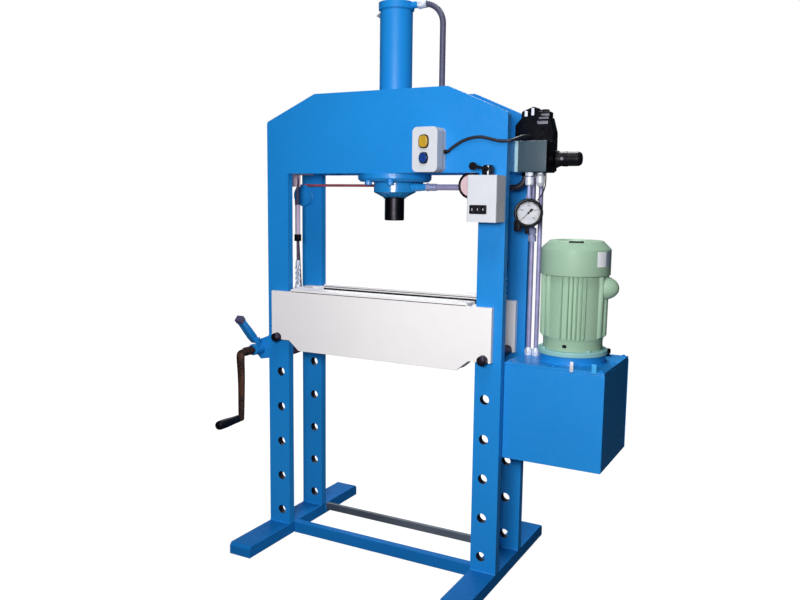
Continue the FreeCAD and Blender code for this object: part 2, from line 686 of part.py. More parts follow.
def valve_block():
    """The black valve body behind the slate box, with a plug on its sloping top."""
    outline = [(half_width, s.block_bottom), (s.block_right, s.block_bottom),
               (s.block_right, s.slope_bottom), (s.slope_at, s.slope_top),
               (s.ridge_at, s.block_top), (s.brow_at, s.brow_top), (s.peak_at, s.block_peak),
               (s.crown_at, s.crown_top), (s.neck_at, s.neck_top),
               (s.block_left, s.shoulder_top), (s.block_left, bracket_top),
               (half_width, bracket_top)]
    body = plate("block_blank", "y", outline, s.block_thick, (0, s.connector_rear, 0))
    middle = s.connector_rear + s.block_thick / 2
    plug = rounded("block_plug", "y",
                   (s.plug_at, middle - s.plug_depth / 2, s.block_top - s.plug_sink),
                   (s.plug_at + s.plug_width, middle + s.plug_depth / 2,
                    s.block_top + s.plug_height), s.plug_round)
    node("valve_block", fuse("block_with_plug", body, plug))


valve_connector()
valve_block()
node("solenoid", turned("solenoid_coil", "x",
                        [(0, 0), (s.solenoid_radius, 0),
                         (s.solenoid_radius, s.solenoid_length - s.solenoid_cap),
                         (s.solenoid_radius - s.solenoid_cap, s.solenoid_length),
                         (0, s.solenoid_length)],
                        (s.block_right, s.connector_rear + s.block_thick / 2, s.solenoid_height)))


# ---- pressure gauge ----------------------------------------------------------------------------

def gauge():
    """A round case open to the front, on a stem under the slate box."""
    inside = s.gauge_radius - s.gauge_wall
    seat = s.gauge_depth - s.gauge_floor
    profile = [(0, seat), (inside, seat), (inside, 0), (s.gauge_radius, 0),
               (s.gauge_radius, s.gauge_depth), (0, s.gauge_depth)]
    middle = seat + s.gauge_floor / 2
    case = turned("gauge_cup", "y", profile, (0, -middle, 0))
    stem = rod("gauge_stem_tube", "z", (0, 0, s.gauge_radius - s.gauge_wall), s.gauge_stem,
               s.bracket_bottom - s.gauge_height - s.gauge_radius + s.gauge_wall)
    spot = (s.gauge_at, middle - s.gauge_front, s.gauge_height)
    turn = FreeCAD.Rotation(AXES["z"], s.gauge_turn.number)
    whole = fuse("gauge_cup_with_stem", case, stem)
    place(whole, spot, turn)
    node("gauge_case", whole)
    dial_front = seat - s.dial_thick - middle
    rim = inside - s.loose_gap
    dial = turned("dial_disc", "y", [(0, dial_front), (rim, dial_front),
                                     (rim, dial_front + s.dial_thick),
                                     (0, dial_front + s.dial_thick)], (0, 0, 0))
    place(dial, spot, turn)
    node("gauge_dial", dial)
    hub = rod("needle_boss", "y", (0, 0, 0), s.needle_hub, s.needle_stand - s.loose_gap)
    hand = box("needle_hand", (-s.needle_width / 2, 0, -s.needle_tail),
               (s.needle_width / 2, s.needle_thick, s.needle_length))
    needle = fuse("needle", hub, hand)
    out = s.needle_stand - dial_front
    face = math.radians(s.gauge_turn.number)
    place(needle, (s.gauge_at + out * math.sin(face), spot[1] - out * math.cos(face), s.gauge_height),
          turn * FreeCAD.Rotation(AXES["y"], s.needle_zero.number))
    node("gauge_needle", needle)


gauge()


# ---- tank, motor and pump ----------------------------------------------------------------------

def tank():
    """A welded box, open at the top under its cover."""
    low = (half_width, -s.tank_front, s.tank_bottom)
    high = (half_width + s.tank_length, s.tank_depth - s.tank_front, tank_top)
    outside = box("tank_outside", low, high)
    inside = box("tank_inside", [value + s.tank_wall for value in low],
                 (high[0] - s.tank_wall, high[1] - s.tank_wall, tank_top + s.tank_wall))
    node("tank", cut("tank_shell", outside, inside))


def tank_cover():
    """A flat cover with a raised ring for the motor and a round hole for the pump's shaft."""
    outline = [(half_width, -s.tank_front), (half_width + s.tank_length, -s.tank_front),
               (half_width + s.tank_length, s.tank_depth - s.tank_front),
               (half_width, s.tank_depth - s.tank_front)]
    sheet = plate("cover_sheet", "z", outline, s.cover_thick, (0, 0, tank_top),
                  [(s.motor_at, s.motor_rear, s.cover_hole)])
    ring = turned("motor_plinth", "z", [(s.cover_hole, 0), (s.plinth_radius, 0),
                                        (s.plinth_radius, s.plinth_height),
                                        (s.cover_hole, s.plinth_height)],
                  (s.motor_at, s.motor_rear, deck))
    node("tank_cover", fuse("cover_with_plinth", sheet, ring))


def motor_body():
    """Base flange, barrel with cooling fins and end shields, and the terminal hood."""
    hole = s.shaft_radius + s.running_gap
    top = s.barrel_height
    low = s.plinth_height
    profile = [(hole, low), (s.motor_base, low), (s.motor_base, low + s.motor_base_thick),
               (s.barrel_radius, low + s.motor_base_thick), (s.barrel_radius, top), (hole, top),
               (hole, top - s.shield_thick), (s.stator_radius, top - s.shield_thick),
               (s.stator_radius, s.shield_height), (hole, s.shield_height)]
    body = turned("motor_barrel", "z", profile, (s.motor_at, s.motor_rear, deck))
    root = s.barrel_radius - s.fin_thick
    sketch = draw(body, "fin_outline", "y", [(root, s.shield_height), (s.fin_radius, s.shield_height),
                                             (s.fin_radius, top), (root, top)])
    fin = pad(body, "fin", sketch, s.fin_thick)
    fins = body.newObject("PartDesign::PolarPattern", "fins")
    fins.Originals = [fin]
    fins.Axis = (sketch, ["V_Axis"])
    fins.Angle = 360
    fins.Occurrences = int(s.fin_count.number)
    fins.setExpression("Occurrences", s.fin_count.text)
    body.Tip = fins
    start = s.barrel_radius - s.fin_thick
    high = s.hood_low + s.hood_height
    edge = s.hood_reach - s.hood_lip
    hood = [(start, s.hood_low), (edge, s.hood_low + s.hood_lip),
            (s.hood_reach, s.hood_low + s.hood_round),
            (s.hood_reach, high - s.hood_round), (edge, high - s.hood_lip), (start, high)]
    case = plate("terminal_hood", "y", hood, s.hood_width,
                 (s.motor_at, s.motor_rear - s.hood_width / 2, deck))
    node("motor_body", fuse("motor_with_hood", body, case))


def motor_cowl():
    """A thin cover over the fan, its shoulder bevelled, slipped over the fins' ends."""
    inside = s.fin_radius + s.loose_gap
    outside = inside + s.cowl_wall
    top = s.cowl_height
    profile = [(inside, 0), (outside, 0), (outside, top - s.cowl_bevel),
               (outside - s.cowl_bevel, top), (0, top), (0, top - s.cowl_top),
               (outside - s.cowl_bevel - s.cowl_ease, top - s.cowl_top),
               (inside, top - s.cowl_bevel - s.cowl_ease)]
    node("motor_cowl", turned("cowl_sheet", "z", profile,
                              (s.motor_at, s.motor_rear, deck + s.barrel_height - s.cowl_lap)))


def motor_rotor():
    """Shaft with the rotor core, and the fan with flat blades on its upper end."""
    shaft = s.shaft_radius
    foot_end = -s.shaft_below
    top = s.barrel_height + s.shaft_above
    profile = [(0, foot_end), (shaft, foot_end), (shaft, s.rotor_low), (s.rotor_radius, s.rotor_low),
               (s.rotor_radius, s.rotor_high), (shaft, s.rotor_high), (shaft, s.fan_lift),
               (s.fan_radius, s.fan_lift), (s.fan_radius, s.fan_lift + s.fan_thick),
               (shaft, s.fan_lift + s.fan_thick), (shaft, top), (0, top)]
    body = turned("rotor_bar", "z", profile, (s.motor_at, s.motor_rear, deck))
    low = s.fan_lift + s.fan_thick / 2
    inner = shaft - s.blade_inset
    outer = s.fan_radius - s.blade_inset
    sketch = draw(body, "blade_outline", "y", [(inner, low), (outer, low),
                                               (outer, low + s.blade_height),
                                               (inner, low + s.blade_height)])
    blade = pad(body, "blade", sketch, s.fan_thick)
    blades = body.newObject("PartDesign::PolarPattern", "blades")
    blades.Originals = [blade]
    blades.Axis = (sketch, ["V_Axis"])
    blades.Angle = 360
    blades.Occurrences = int(s.blade_count.number)
    blades.setExpression("Occurrences", s.blade_count.text)
    body.Tip = blades
    node("motor_rotor", body)


def pump():
    """The pump hangs under the cover round the shaft's end; its suction pipe ends in a strainer."""
    socket = s.shaft_radius + s.running_gap
    floor = s.tank_wall + s.strainer_clear
    strainer_top = floor + s.strainer_height
    pump_top = s.tank_height
    pump_bottom = pump_top - s.pump_height
    shaft_end = pump_top + s.cover_thick - s.shaft_below - s.piston_rest
    profile = [(0, floor), (s.strainer_radius, floor), (s.strainer_radius, strainer_top),
               (s.suction_radius, strainer_top), (s.suction_radius, pump_bottom),
               (s.pump_radius, pump_bottom), (s.pump_radius, pump_top), (socket, pump_top),
               (socket, shaft_end), (0, shaft_end)]
    node("pump", turned("pump_case", "z", profile, (s.motor_at, s.motor_rear, s.tank_bottom)))


tank()
tank_cover()
motor_body()
motor_cowl()
motor_rotor()
pump()
node("filler_cap", turned("filler_knob", "z",
                          [(0, 0), (s.filler_neck, 0), (s.filler_neck, s.filler_neck_height),
                           (s.filler_radius, s.filler_neck_height),
                           (s.filler_radius, s.filler_height), (0, s.filler_height)],
                          (s.filler_at, s.filler_rear, deck + s.loose_gap)))


# ---- switch boxes ------------------------------------------------------------------------------

def control_box():
    """A box on the front of the right leg, with a pocket for each of its three keys."""
    front = -plate_outside - s.control_depth
    case = rounded("control_case", "z", (s.control_left, front, s.control_bottom),
                   (s.control_left + s.control_width, -plate_outside,
                    s.control_bottom + s.control_height), s.control_round)
    pockets = []
    for number, name in enumerate(("left_key", "middle_key", "right_key")):
        middle = s.key_first + s.key_step * number
        low = s.control_bottom + s.key_low
        half = s.key_width / 2
        room = half + s.loose_gap
        pockets.append(box("key_pocket", (middle - room, front - s.cutter_margin, low - s.loose_gap),
                           (middle + room, front + s.key_inside + s.key_travel,
                            low + s.key_height + s.loose_gap)))
        node(name, box(name + "_block", (middle - half, front - s.key_stand, low),
                       (middle + half, front + s.key_inside - s.loose_gap, low + s.key_height)))
    node("control_box", cut("control_case_with_pockets", case, *pockets))


def button(name, width, height, up):
    """A push button with rounded corners, and the pocket that it travels in."""
    front = -plate_outside - s.station_depth
    middle = s.station_left + s.button_across
    centre = s.station_bottom + up
    low = (middle - width / 2, front - s.button_stand, centre - height / 2)
    high = (middle + width / 2, front + s.button_inside, centre + height / 2)
    node(name, rounded(name + "_block", "y", low, high, s.button_round))
    gap = s.loose_gap
    return rounded(name + "_pocket", "y", (low[0] - gap, front - s.cutter_margin, low[2] - gap),
                   (high[0] + gap, high[1] + s.button_travel + gap, high[2] + gap),
                   s.button_round + gap)


def button_station():
    """The push-button box on the front of the head."""
    case = rounded("station_case", "y", (s.station_left, -plate_outside - s.station_depth,
                                         s.station_bottom),
                   (s.station_left + s.station_width, -plate_outside,
                    s.station_bottom + s.station_height), s.station_round)
    yellow = button("yellow_button", s.yellow_width, s.yellow_height, s.yellow_up)
    blue = button("blue_button", s.blue_width, s.blue_height, s.blue_up)
    node("pushbutton_box", cut("station_with_pockets", case, yellow, blue))


def limit_switch():
    """A small switch on top of the control box; its lever carries a roller."""
    base = s.control_bottom + s.control_height
    node("limit_switch", box("limit_case", (s.limit_left, -s.limit_front, base),
                             (s.limit_left + s.limit_width, s.limit_depth - s.limit_front,
                              base + s.limit_height)))
    pivot = s.limit_left + s.arm_pivot_in
    height = base + s.arm_pivot_up
    front = -s.limit_front - s.loose_gap - s.arm_thick * 2
    shaft = rod("arm_shaft_pin", "y", (pivot, front, height), s.arm_shaft, s.arm_thick * 2)
    half = s.arm_width / 2
    outline = [(half, -half), (half, half), (-s.arm_reach, s.arm_rise + half),
               (-s.arm_reach, s.arm_rise - half)]
    arm = plate("arm_bar", "y", outline, s.arm_thick, (pivot, front, height))
    roller = rod("arm_roller", "y", (pivot - s.arm_reach, front, height + s.arm_rise),
                 s.roller_radius, s.roller_length)
    node("switch_lever", fuse("arm_with_roller", shaft, arm, roller))


def button_cable():
    """The cable from the push-button box along the head's front and round its edge."""
    face = -plate_outside - s.cable_radius - s.loose_gap
    start = s.station_left + s.station_width
    route = [(start, face, s.cable_start), (start + s.cable_straight, face, s.cable_start)]
    route += [(across, face, up) for across, up in CABLE_ON_HEAD]
    route += [(across, face + back, up) for across, back, up in CABLE_ROUND_EDGE]
    route.append((s.cable_end_at, s.connector_rear, s.cable_end))
    node("button_cable", bent_tube("cable_tube", route, s.cable_radius.number, gentle_bends(route)))


control_box()
button_station()
limit_switch()
button_cable()


# ---- table -------------------------------------------------------------------------------------

def table_beam(name, plate_front):
    """Two webs that straddle a frame plate, under a common top strip, notched over the pins."""
    ramp = s.web_run + s.web_slope
    outline = [(-s.web_half, s.web_end_bottom), (-ramp, s.web_end_bottom), (-s.web_run, s.web_bottom),
               (s.web_run, s.web_bottom), (ramp, s.web_end_bottom), (s.web_half, s.web_end_bottom),
               (s.web_half, s.web_top), (-s.web_half, s.web_top)]
    outer = plate_front - s.guide_gap - s.web_thick
    inner = plate_front + s.plate_thick + s.guide_gap
    front_web = plate(name + "_front_web", "y", outline, s.web_thick, (0, outer, 0))
    rear_web = plate(name + "_rear_web", "y", outline, s.web_thick, (0, inner, 0))
    strip = box(name + "_strip", (-s.strip_half, outer, s.web_top),
                (s.strip_half, inner + s.web_thick, s.web_top + s.top_strip))
    start = outer - s.cutter_margin
    end = inner + s.web_thick + s.cutter_margin
    low = s.web_end_bottom - s.cutter_margin
    tools = []
    for across in (-hole_at, hole_at):
        tools.append(rod(name + "_notch", "y", (across, start, s.pin_level), s.hole_radius, end - start))
        tools.append(box(name + "_mouth", (across - s.hole_radius, start, low),
                         (across + s.hole_radius, end, s.pin_level)))
    blank = fuse(name + "_blank", front_web, rear_web, strip)
    return node(name, cut(name + "_notched", blank, *tools))


def table_spacers():
    """Cross plates between the beams, and the bar that the left rope lifts."""
    reach = plate_inside - s.guide_gap - s.web_thick
    low = s.web_bottom + s.cross_low
    bars = []
    for left in (s.cross_at, -s.cross_at - s.cross_thick):
        bars.append(box("cross_plate", (left, -reach, low),
                        (left + s.cross_thick, reach, low + s.cross_height)))
    half = s.lift_bar_width / 2
    bars.append(box("lift_bar", (-s.lift_bar_at - half, -reach, s.web_top - s.lift_bar_height),
                    (half - s.lift_bar_at, reach, s.web_top)))
    node("table_spacers", group("table_spacer_group", *bars))


def table_pin(name, across):
    """A round pin through both frame plates and under both beams."""
    radius = s.hole_radius - s.pin_gap
    length = s.pin_front + s.pin_rear
    profile = [(0, 0), (radius - s.pin_bevel, 0), (radius, s.pin_bevel), (radius, length), (0, length)]
    node(name, turned(name + "_bar", "y", profile, (across, -s.pin_front, s.pin_level)))


table_beam("front_table_beam", -plate_outside)
table_beam("rear_table_beam", plate_inside)
table_spacers()
table_pin("left_table_pin", -hole_at)
table_pin("right_table_pin", hole_at)


# ---- winch -------------------------------------------------------------------------------------

def winch_bearings():
    """Two bearing blocks on the left leg; the front one has a long boss and the lever's lug."""
    bore = s.winch_shaft + s.running_gap
    blocks = []
    for front in (-plate_outside, plate_inside):
        low = s.winch_height - s.bearing_below
        high = s.winch_height + s.bearing_above
        out = -half_width - s.bearing_out
        outline = [(-half_width, low + s.bearing_toe), (winch_at, low), (out, low + s.bearing_heel),
                   (out, high - s.bearing_brow * 2), (winch_at, high - s.bearing_brow),
                   (-half_width, high)]
        block = plate("bearing_block", "y", outline, s.plate_thick, (0, front, 0))
        start = front - s.boss_length - s.cutter_margin
        blocks.append([block, rod("bearing_bore", "y", (winch_at, start, s.winch_height), bore,
                                  front + s.plate_thick + s.cutter_margin - start)])
    boss = rod("bearing_boss", "y", (winch_at, -plate_outside - s.boss_length, s.winch_height),
               s.boss_radius, s.boss_length + s.plate_thick / 2)
    lug_left = winch_at + s.lever_thick / 2 + s.loose_gap
    pivot = s.winch_height + s.lever_pivot_up
    lug = box("lever_lug", (lug_left, -s.lever_pivot_front - s.lug_length / 2,
                            s.winch_height + s.boss_radius / 2),
              (lug_left + s.lug_thick, s.lug_length / 2 - s.lever_pivot_front,
               pivot + s.lug_height / 3))
    pin = rod("lever_pin", "x", (lug_left - s.lever_thick - s.loose_gap, -s.lever_pivot_front, pivot),
              s.lug_pin, s.lever_thick + s.lug_thick)
    front_block = cut("front_bearing", fuse("front_bearing_blank", blocks[0][0], boss, lug, pin),
                      blocks[0][1])
    rear_block = cut("rear_bearing", blocks[1][0], blocks[1][1])
    node("winch_bearings", group("bearing_group", front_block, rear_block))


def winch_drum():
    """Shaft and drum: the shaft carries the crank in front and turns in both blocks."""
    core = s.drum_pitch - s.rope_radius - s.loose_gap
    cheek_front = s.drum_front - s.drum_cheek
    cheek_rear = s.drum_rear + s.drum_cheek
    tip = -s.hub_front - s.crank_thick / 2
    profile = [(0, tip), (s.winch_shaft, tip), (s.winch_shaft, cheek_front), (s.drum_rim, cheek_front),
               (s.drum_rim, s.drum_front), (core, s.drum_front), (core, s.drum_rear),
               (s.drum_rim, s.drum_rear), (s.drum_rim, cheek_rear), (s.winch_shaft, cheek_rear),
               (s.winch_shaft, plate_outside), (0, plate_outside)]
    node("winch_drum", turned("drum_bar", "y", profile, (winch_at, 0, s.winch_height)))


def crank():
    """A tapered arm with a long hub and the handle's pin."""
    outline = [(-s.crank_wide, s.crank_wide / 2), (-s.crank_wide, -s.crank_wide),
               (-s.crank_narrow, -s.crank_length), (s.crank_narrow, -s.crank_length),
               (s.crank_wide, -s.crank_wide), (s.crank_wide, s.crank_wide / 2)]
    front = -s.hub_front - s.crank_thick
    arm = plate("crank_arm", "y", outline, s.crank_thick, (winch_at, front, s.winch_height))
    low_end = rod("crank_end", "y", (winch_at, front, s.winch_height - s.crank_length),
                  s.crank_narrow, s.crank_thick)
    hub = rod("crank_hub", "y", (winch_at, front, s.winch_height), s.hub_radius,
              s.crank_thick + s.hub_front - s.hub_rear)
    pin = rod("crank_pin", "y", (winch_at, -s.handle_end, s.winch_height - s.crank_length),
              s.handle_pin, s.handle_end + front)
    bore = rod("crank_bore", "y", (winch_at, -s.hub_front - s.crank_thick / 2, s.winch_height),
               s.winch_shaft + s.running_gap, s.hub_front)
    node("crank", cut("crank_bored", fuse("crank_blank", arm, low_end, hub, pin), bore))
    length = s.handle_end + front - s.grip_gap
    hole = s.handle_pin + s.running_gap
    profile = [(hole, 0), (s.grip_waist, 0), (s.grip_radius, s.grip_swell),
               (s.grip_radius, length - s.grip_swell), (s.grip_waist, length), (hole, length)]
    node("crank_grip", turned("grip_sleeve", "y", profile,
                              (winch_at, -s.handle_end, s.winch_height - s.crank_length)))


def pawl_lever():
    """A flat lever with a round end, tilted to the front on the lug's pin."""
    half = s.lever_width / 2
    outline = [(-half, -half), (half, -half), (half, s.lever_length), (-half, s.lever_length)]
    bar = plate("lever_bar", "x", outline, s.lever_thick, (-s.lever_thick / 2, 0, 0),
                [(0, 0, s.lug_pin + s.running_gap)])
    knob = rod("lever_end", "x", (-s.lever_thick / 2, 0, s.lever_length), s.lever_knob,
               s.lever_thick)
    lever = fuse("lever_with_end", bar, knob)
    place(lever, (winch_at, -s.lever_pivot_front, s.winch_height + s.lever_pivot_up),
          FreeCAD.Rotation(AXES["x"], s.lever_tilt.number))
    node("pawl_lever", lever)


winch_bearings()
winch_drum()
crank()
pawl_lever()


# ---- pulleys and ropes -------------------------------------------------------------------------

def pulley(name, pitch, axle, at):
    """A pulley whose square groove clears the rope."""
    floor = pitch - s.rope_radius - s.loose_gap
    lip = pitch + s.pulley_lip
    hole = axle + s.running_gap
    half = s.pulley_half
    profile = [(hole, -half), (lip, -half), (lip, -s.groove_half), (floor, -s.groove_half),
               (floor, s.groove_half), (lip, s.groove_half), (lip, half), (hole, half)]
    node(name, turned(name + "_disc", "y", profile, at))


def pulley_mounts():
    """The small pulley's hanger, and the two sheaves' axle pins; the right one has a lug."""
    rear = s.lift_rope_rear
    outer = s.pulley_half + s.cheek_gap + s.cheek_thick
    centre = small_pulley_at
    low = s.small_pulley_height - s.cheek_below
    pieces = [box("hanger_bar", (centre - s.hanger_half, -plate_inside, s.hanger_bottom),
                  (centre + s.hanger_half, plate_inside, s.hanger_bottom + s.hanger_thick))]
    for front in (rear - outer, rear + outer - s.cheek_thick):
        pieces.append(box("hanger_cheek", (centre - s.cheek_half, front, low),
                          (centre + s.cheek_half, front + s.cheek_thick,
                           s.hanger_bottom + s.hanger_thick / 2)))
    pieces.append(rod("hanger_axle", "y", (centre, rear - outer, s.small_pulley_height),
                      s.small_axle, outer * 2))
    solids = [fuse("hanger", *pieces)]
    start = s.cross_rope_rear - s.pulley_half - s.loose_gap - s.axle_head_thick
    lug = box("sheave_lug_plate", (inner_half - s.lug_reach, plate_inside,
                                   s.sheave_height - s.sheave_lug / 2),
              (inner_half, plate_outside, s.sheave_height + s.sheave_lug / 2))
    for across in (-s.left_sheave_at, s.right_sheave_at):
        axle = rod("sheave_axle", "y", (across, start, s.sheave_height), s.big_axle,
                   plate_inside - start)
        head = rod("axle_head_disc", "y", (across, start, s.sheave_height), s.axle_head,
                   s.axle_head_thick)
        parts = [axle, head] if across.number < 0 else [axle, head, lug]
        solids.append(fuse("axle_pin", *parts))
    node("pulley_mounts", group("pulley_mount_group", *solids))


def on_circle(centre, radius, angle):
    """A point on a circle in the plane of the ropes, the angle counted from +X towards +Z."""
    across, back, up = centre
    return FreeCAD.Vector(across + radius * math.cos(angle), back, up + radius * math.sin(angle))


def over(centre, radius, start, end):
    """The arc over a pulley from one angle to another."""
    middle = on_circle(centre, radius, (start + end) / 2)
    return Part.Arc(on_circle(centre, radius, start), middle, on_circle(centre, radius, end)).toShape()


def straight(start, end):
    """A straight run of rope."""
    return Part.LineSegment(start, end).toShape()


def lift_rope():
    """Up from the drum's right side and over the small pulley."""
    rear = s.lift_rope_rear.number
    pitch = s.small_pulley.number
    centre = (small_pulley_at.number, rear, s.small_pulley_height.number)
    top = on_circle(centre, pitch, math.pi)
    foot_point = FreeCAD.Vector(top.x, rear, s.winch_height.number)
    node("lift_rope", sweep("lift_rope_run", [straight(foot_point, top), over(centre, pitch, math.pi, 0)],
                            s.rope_radius.number))


def cross_rope():
    """From the drum's right side to the left sheave's left side, across and over the right one."""
    rear = s.cross_rope_rear.number
    drum = (winch_at.number, rear, s.winch_height.number)
    left = (-s.left_sheave_at.number, rear, s.sheave_height.number)
    right = (s.right_sheave_at.number, rear, s.sheave_height.number)
    pitch = s.sheave_pitch.number
    across = left[0] - drum[0]
    up = left[2] - drum[2]
    lean = math.atan2(up, across)
    swing = math.acos((s.drum_pitch.number + pitch) / math.hypot(across, up))
    leave = lean - swing
    meet = leave + math.pi
    runs = [straight(on_circle(drum, s.drum_pitch.number, leave), on_circle(left, pitch, meet)),
            over(left, pitch, meet, math.pi / 2),
            straight(on_circle(left, pitch, math.pi / 2), on_circle(right, pitch, math.pi / 2)),
            over(right, pitch, math.pi / 2, 0)]
    node("cross_rope", sweep("cross_rope_run", runs, s.rope_radius.number))


def rope_end(across, rear, lower=0):
    """Sleeve, stop block, socket, chain links and the eye that stands on the table."""
    low = s.sleeve_low - lower
    high = s.sleeve_high - lower
    gap = s.rope_radius + s.loose_gap
    sleeve = rod("rope_sleeve", "z", (across, rear, low), s.sleeve_radius, high - low)
    half = s.stop_side / 2
    stop = box("rope_stop", (across - half, rear - half, low - s.stop_height),
               (across + half, rear + half, low))
    bore = rod("rope_bore", "z", (across, rear, s.socket_top), gap,
               high - s.socket_top + s.cutter_margin)
    guard = cut("rope_guard", fuse("rope_guard_blank", sleeve, stop), bore)
    socket_bottom = s.socket_top - s.socket_height
    socket = rod("rope_socket", "z", (across, rear, socket_bottom), s.socket_radius, s.socket_height)
    pitch = (s.link_radius - s.link_wire) * 2 - s.loose_gap
    first = socket_bottom + s.link_wire / 2 - s.link_radius
    top_link = ring("top_link", "y", (across, rear, first), s.link_radius, s.link_wire)
    solids = [guard, fuse("socket_with_link", socket, top_link)]
    count = int(s.link_count.number)
    for number in range(1, count):
        solids.append(ring("chain_link", "xy"[number % 2 == 0], (across, rear, first - pitch * number),
                           s.link_radius, s.link_wire))
    eye_height = first - pitch * count
    eye = ring("table_eye", "xy"[count % 2 == 0], (across, rear, eye_height), s.link_radius,
               s.link_wire)
    stem = rod("eye_stem_rod", "z", (across, rear, s.web_top), s.eye_stem,
               eye_height - s.link_radius + s.link_wire / 2 - s.web_top)
    solids.append(fuse("eye_with_stem", eye, stem))
    return solids


def falls():
    """The straight ropes that hang from the pulleys to the sockets, and their lower ends."""
    left_at = small_pulley_at + s.small_pulley
    right_at = s.right_sheave_at + s.sheave_pitch
    node("left_fall", rod("left_fall_run", "z", (left_at, s.lift_rope_rear, s.socket_top),
                          s.rope_radius, s.small_pulley_height - s.socket_top))
    node("right_fall", rod("right_fall_run", "z", (right_at, s.cross_rope_rear, s.socket_top),
                           s.rope_radius, s.sheave_height - s.socket_top))
    ends = rope_end(left_at, s.lift_rope_rear)
    ends += rope_end(right_at, s.cross_rope_rear, s.right_lower)
    node("rope_ends", group("rope_end_group", *ends))


pulley("small_pulley", s.small_pulley, s.small_axle,
       (small_pulley_at, s.lift_rope_rear, s.small_pulley_height))
pulley("left_sheave", s.sheave_pitch, s.big_axle,
       (-s.left_sheave_at, s.cross_rope_rear, s.sheave_height))
pulley("right_sheave", s.sheave_pitch, s.big_axle,
       (s.right_sheave_at, s.cross_rope_rear, s.sheave_height))
pulley_mounts()
lift_rope()
cross_rope()
falls()


# ---- common shift, checks and files ------------------------------------------------------------

doc.recompute()
whole = FreeCAD.BoundBox()
for thing in nodes.values():
    whole.add(thing.Shape.optimalBoundingBox(False, False))
for alias, middle in (("shift_across", whole.Center.x), ("shift_back", whole.Center.y)):
    sheet.set(sheet.getCellFromAlias(alias), "%.6f" % -middle)
doc.recompute()

bad = [thing.Label for thing in doc.Objects if {"Invalid", "Error"} & set(thing.State)]
for name, thing in nodes.items():
    if thing.Label != name or thing.Shape.isNull() or not thing.Shape.isValid() or not thing.Shape.Solids:
        bad.append(name)
if bad:
    raise RuntimeError("sub-parts that did not build: " + ", ".join(bad))
for name, thing in nodes.items():
    thing.Shape.exportStep("parts/%s.step" % name)
print("%d sub-parts, shift %.3f %.3f, height %.1f" % (len(nodes), -whole.Center.x, -whole.Center.y,
                                                     whole.ZMax))
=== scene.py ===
import json
import math
import bmesh
import bpy
import numpy as np
from mathutils import Matrix, Vector


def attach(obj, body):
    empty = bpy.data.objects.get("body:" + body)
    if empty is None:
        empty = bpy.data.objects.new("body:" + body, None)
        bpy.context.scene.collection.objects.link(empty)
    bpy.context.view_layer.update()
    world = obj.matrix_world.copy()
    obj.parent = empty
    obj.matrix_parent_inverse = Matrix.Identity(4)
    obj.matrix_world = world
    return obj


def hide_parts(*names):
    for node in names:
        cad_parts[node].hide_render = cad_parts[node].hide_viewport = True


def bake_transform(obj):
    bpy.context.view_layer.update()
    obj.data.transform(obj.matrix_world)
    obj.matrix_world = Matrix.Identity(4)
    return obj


# Hydraulic workshop press. Lengths are in millimetres from the ram's axis on the floor,
# and every piece is moved to the frame's own metres when its mesh is made.

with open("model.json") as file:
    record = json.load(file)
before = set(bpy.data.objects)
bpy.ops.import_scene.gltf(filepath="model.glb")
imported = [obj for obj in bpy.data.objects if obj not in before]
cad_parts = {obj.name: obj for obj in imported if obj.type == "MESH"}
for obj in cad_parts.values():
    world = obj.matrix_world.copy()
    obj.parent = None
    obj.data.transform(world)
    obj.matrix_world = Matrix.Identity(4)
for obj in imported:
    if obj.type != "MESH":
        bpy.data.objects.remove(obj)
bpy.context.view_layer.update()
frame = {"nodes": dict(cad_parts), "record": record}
print("frame loaded with", len(frame["nodes"]), "parts")

pressShift = np.array([-120.0, 4.5, 0.0])   # from the ram's axis to the middle of the base
bodyOf = {part: body for body, parts in frame["record"]["behaviour"]["bodies"].items()
          for part in parts}
axisPlaces = {"x": (1, 2, 0), "y": (0, 2, 1), "z": (0, 1, 2)}   # where sideways, upwards and along go


# surfaces as grids of points

def spread(axis, side, up, along):
    # three arrays of distances as points, the last one measured along the axis
    side, up, along = np.broadcast_arrays(side, up, along)
    points = np.empty(side.shape + (3,))
    for place, values in zip(axisPlaces[axis], (side, up, along)):
        points[..., place] = values
    return points


def wholeTurn(steps):
    return np.linspace(0, 2 * math.pi, steps, endpoint=False)


def unit(vectors):
    return vectors / np.linalg.norm(vectors, axis=1, keepdims=True)


def shell(points, loop=False):
    # quads between the rows of a grid whose columns close on themselves, with flat caps at both ends
    rows, columns = points.shape[:2]
    i, j = np.meshgrid(np.arange(rows if loop else rows - 1), np.arange(columns), indexing="ij")
    down, right = (i + 1) % rows, (j + 1) % columns
    quads = np.stack([i * columns + j, i * columns + right, down * columns + right,
                      down * columns + j], -1).reshape(-1, 4)
    ends = [] if loop else [np.arange(columns)[::-1], np.arange(columns) + (rows - 1) * columns]
    return points.reshape(-1, 3), quads, ends


def softLine(corners, radius, arcs=3, closed=False):
    # each corner becomes a parabola between two points at the given distance from it
    corners = np.array(corners, float)
    before = np.roll(corners, 1, 0) - corners
    after = np.roll(corners, -1, 0) - corners
    beforeLength = np.linalg.norm(before, axis=1, keepdims=True)
    afterLength = np.linalg.norm(after, axis=1, keepdims=True)
    reach = np.minimum(radius, 0.45 * np.minimum(beforeLength, afterLength))
    start = (corners + before / beforeLength * reach)[:, None]
    end = (corners + after / afterLength * reach)[:, None]
    t = np.linspace(0, 1, arcs + 1)[None, :, None]
    bends = start * (1 - t) ** 2 + 2 * corners[:, None] * t * (1 - t) + end * t ** 2
    if closed:
        return bends.reshape(-1, corners.shape[1])
    return np.concatenate([corners[:1], bends[1:-1].reshape(-1, corners.shape[1]), corners[-1:]])


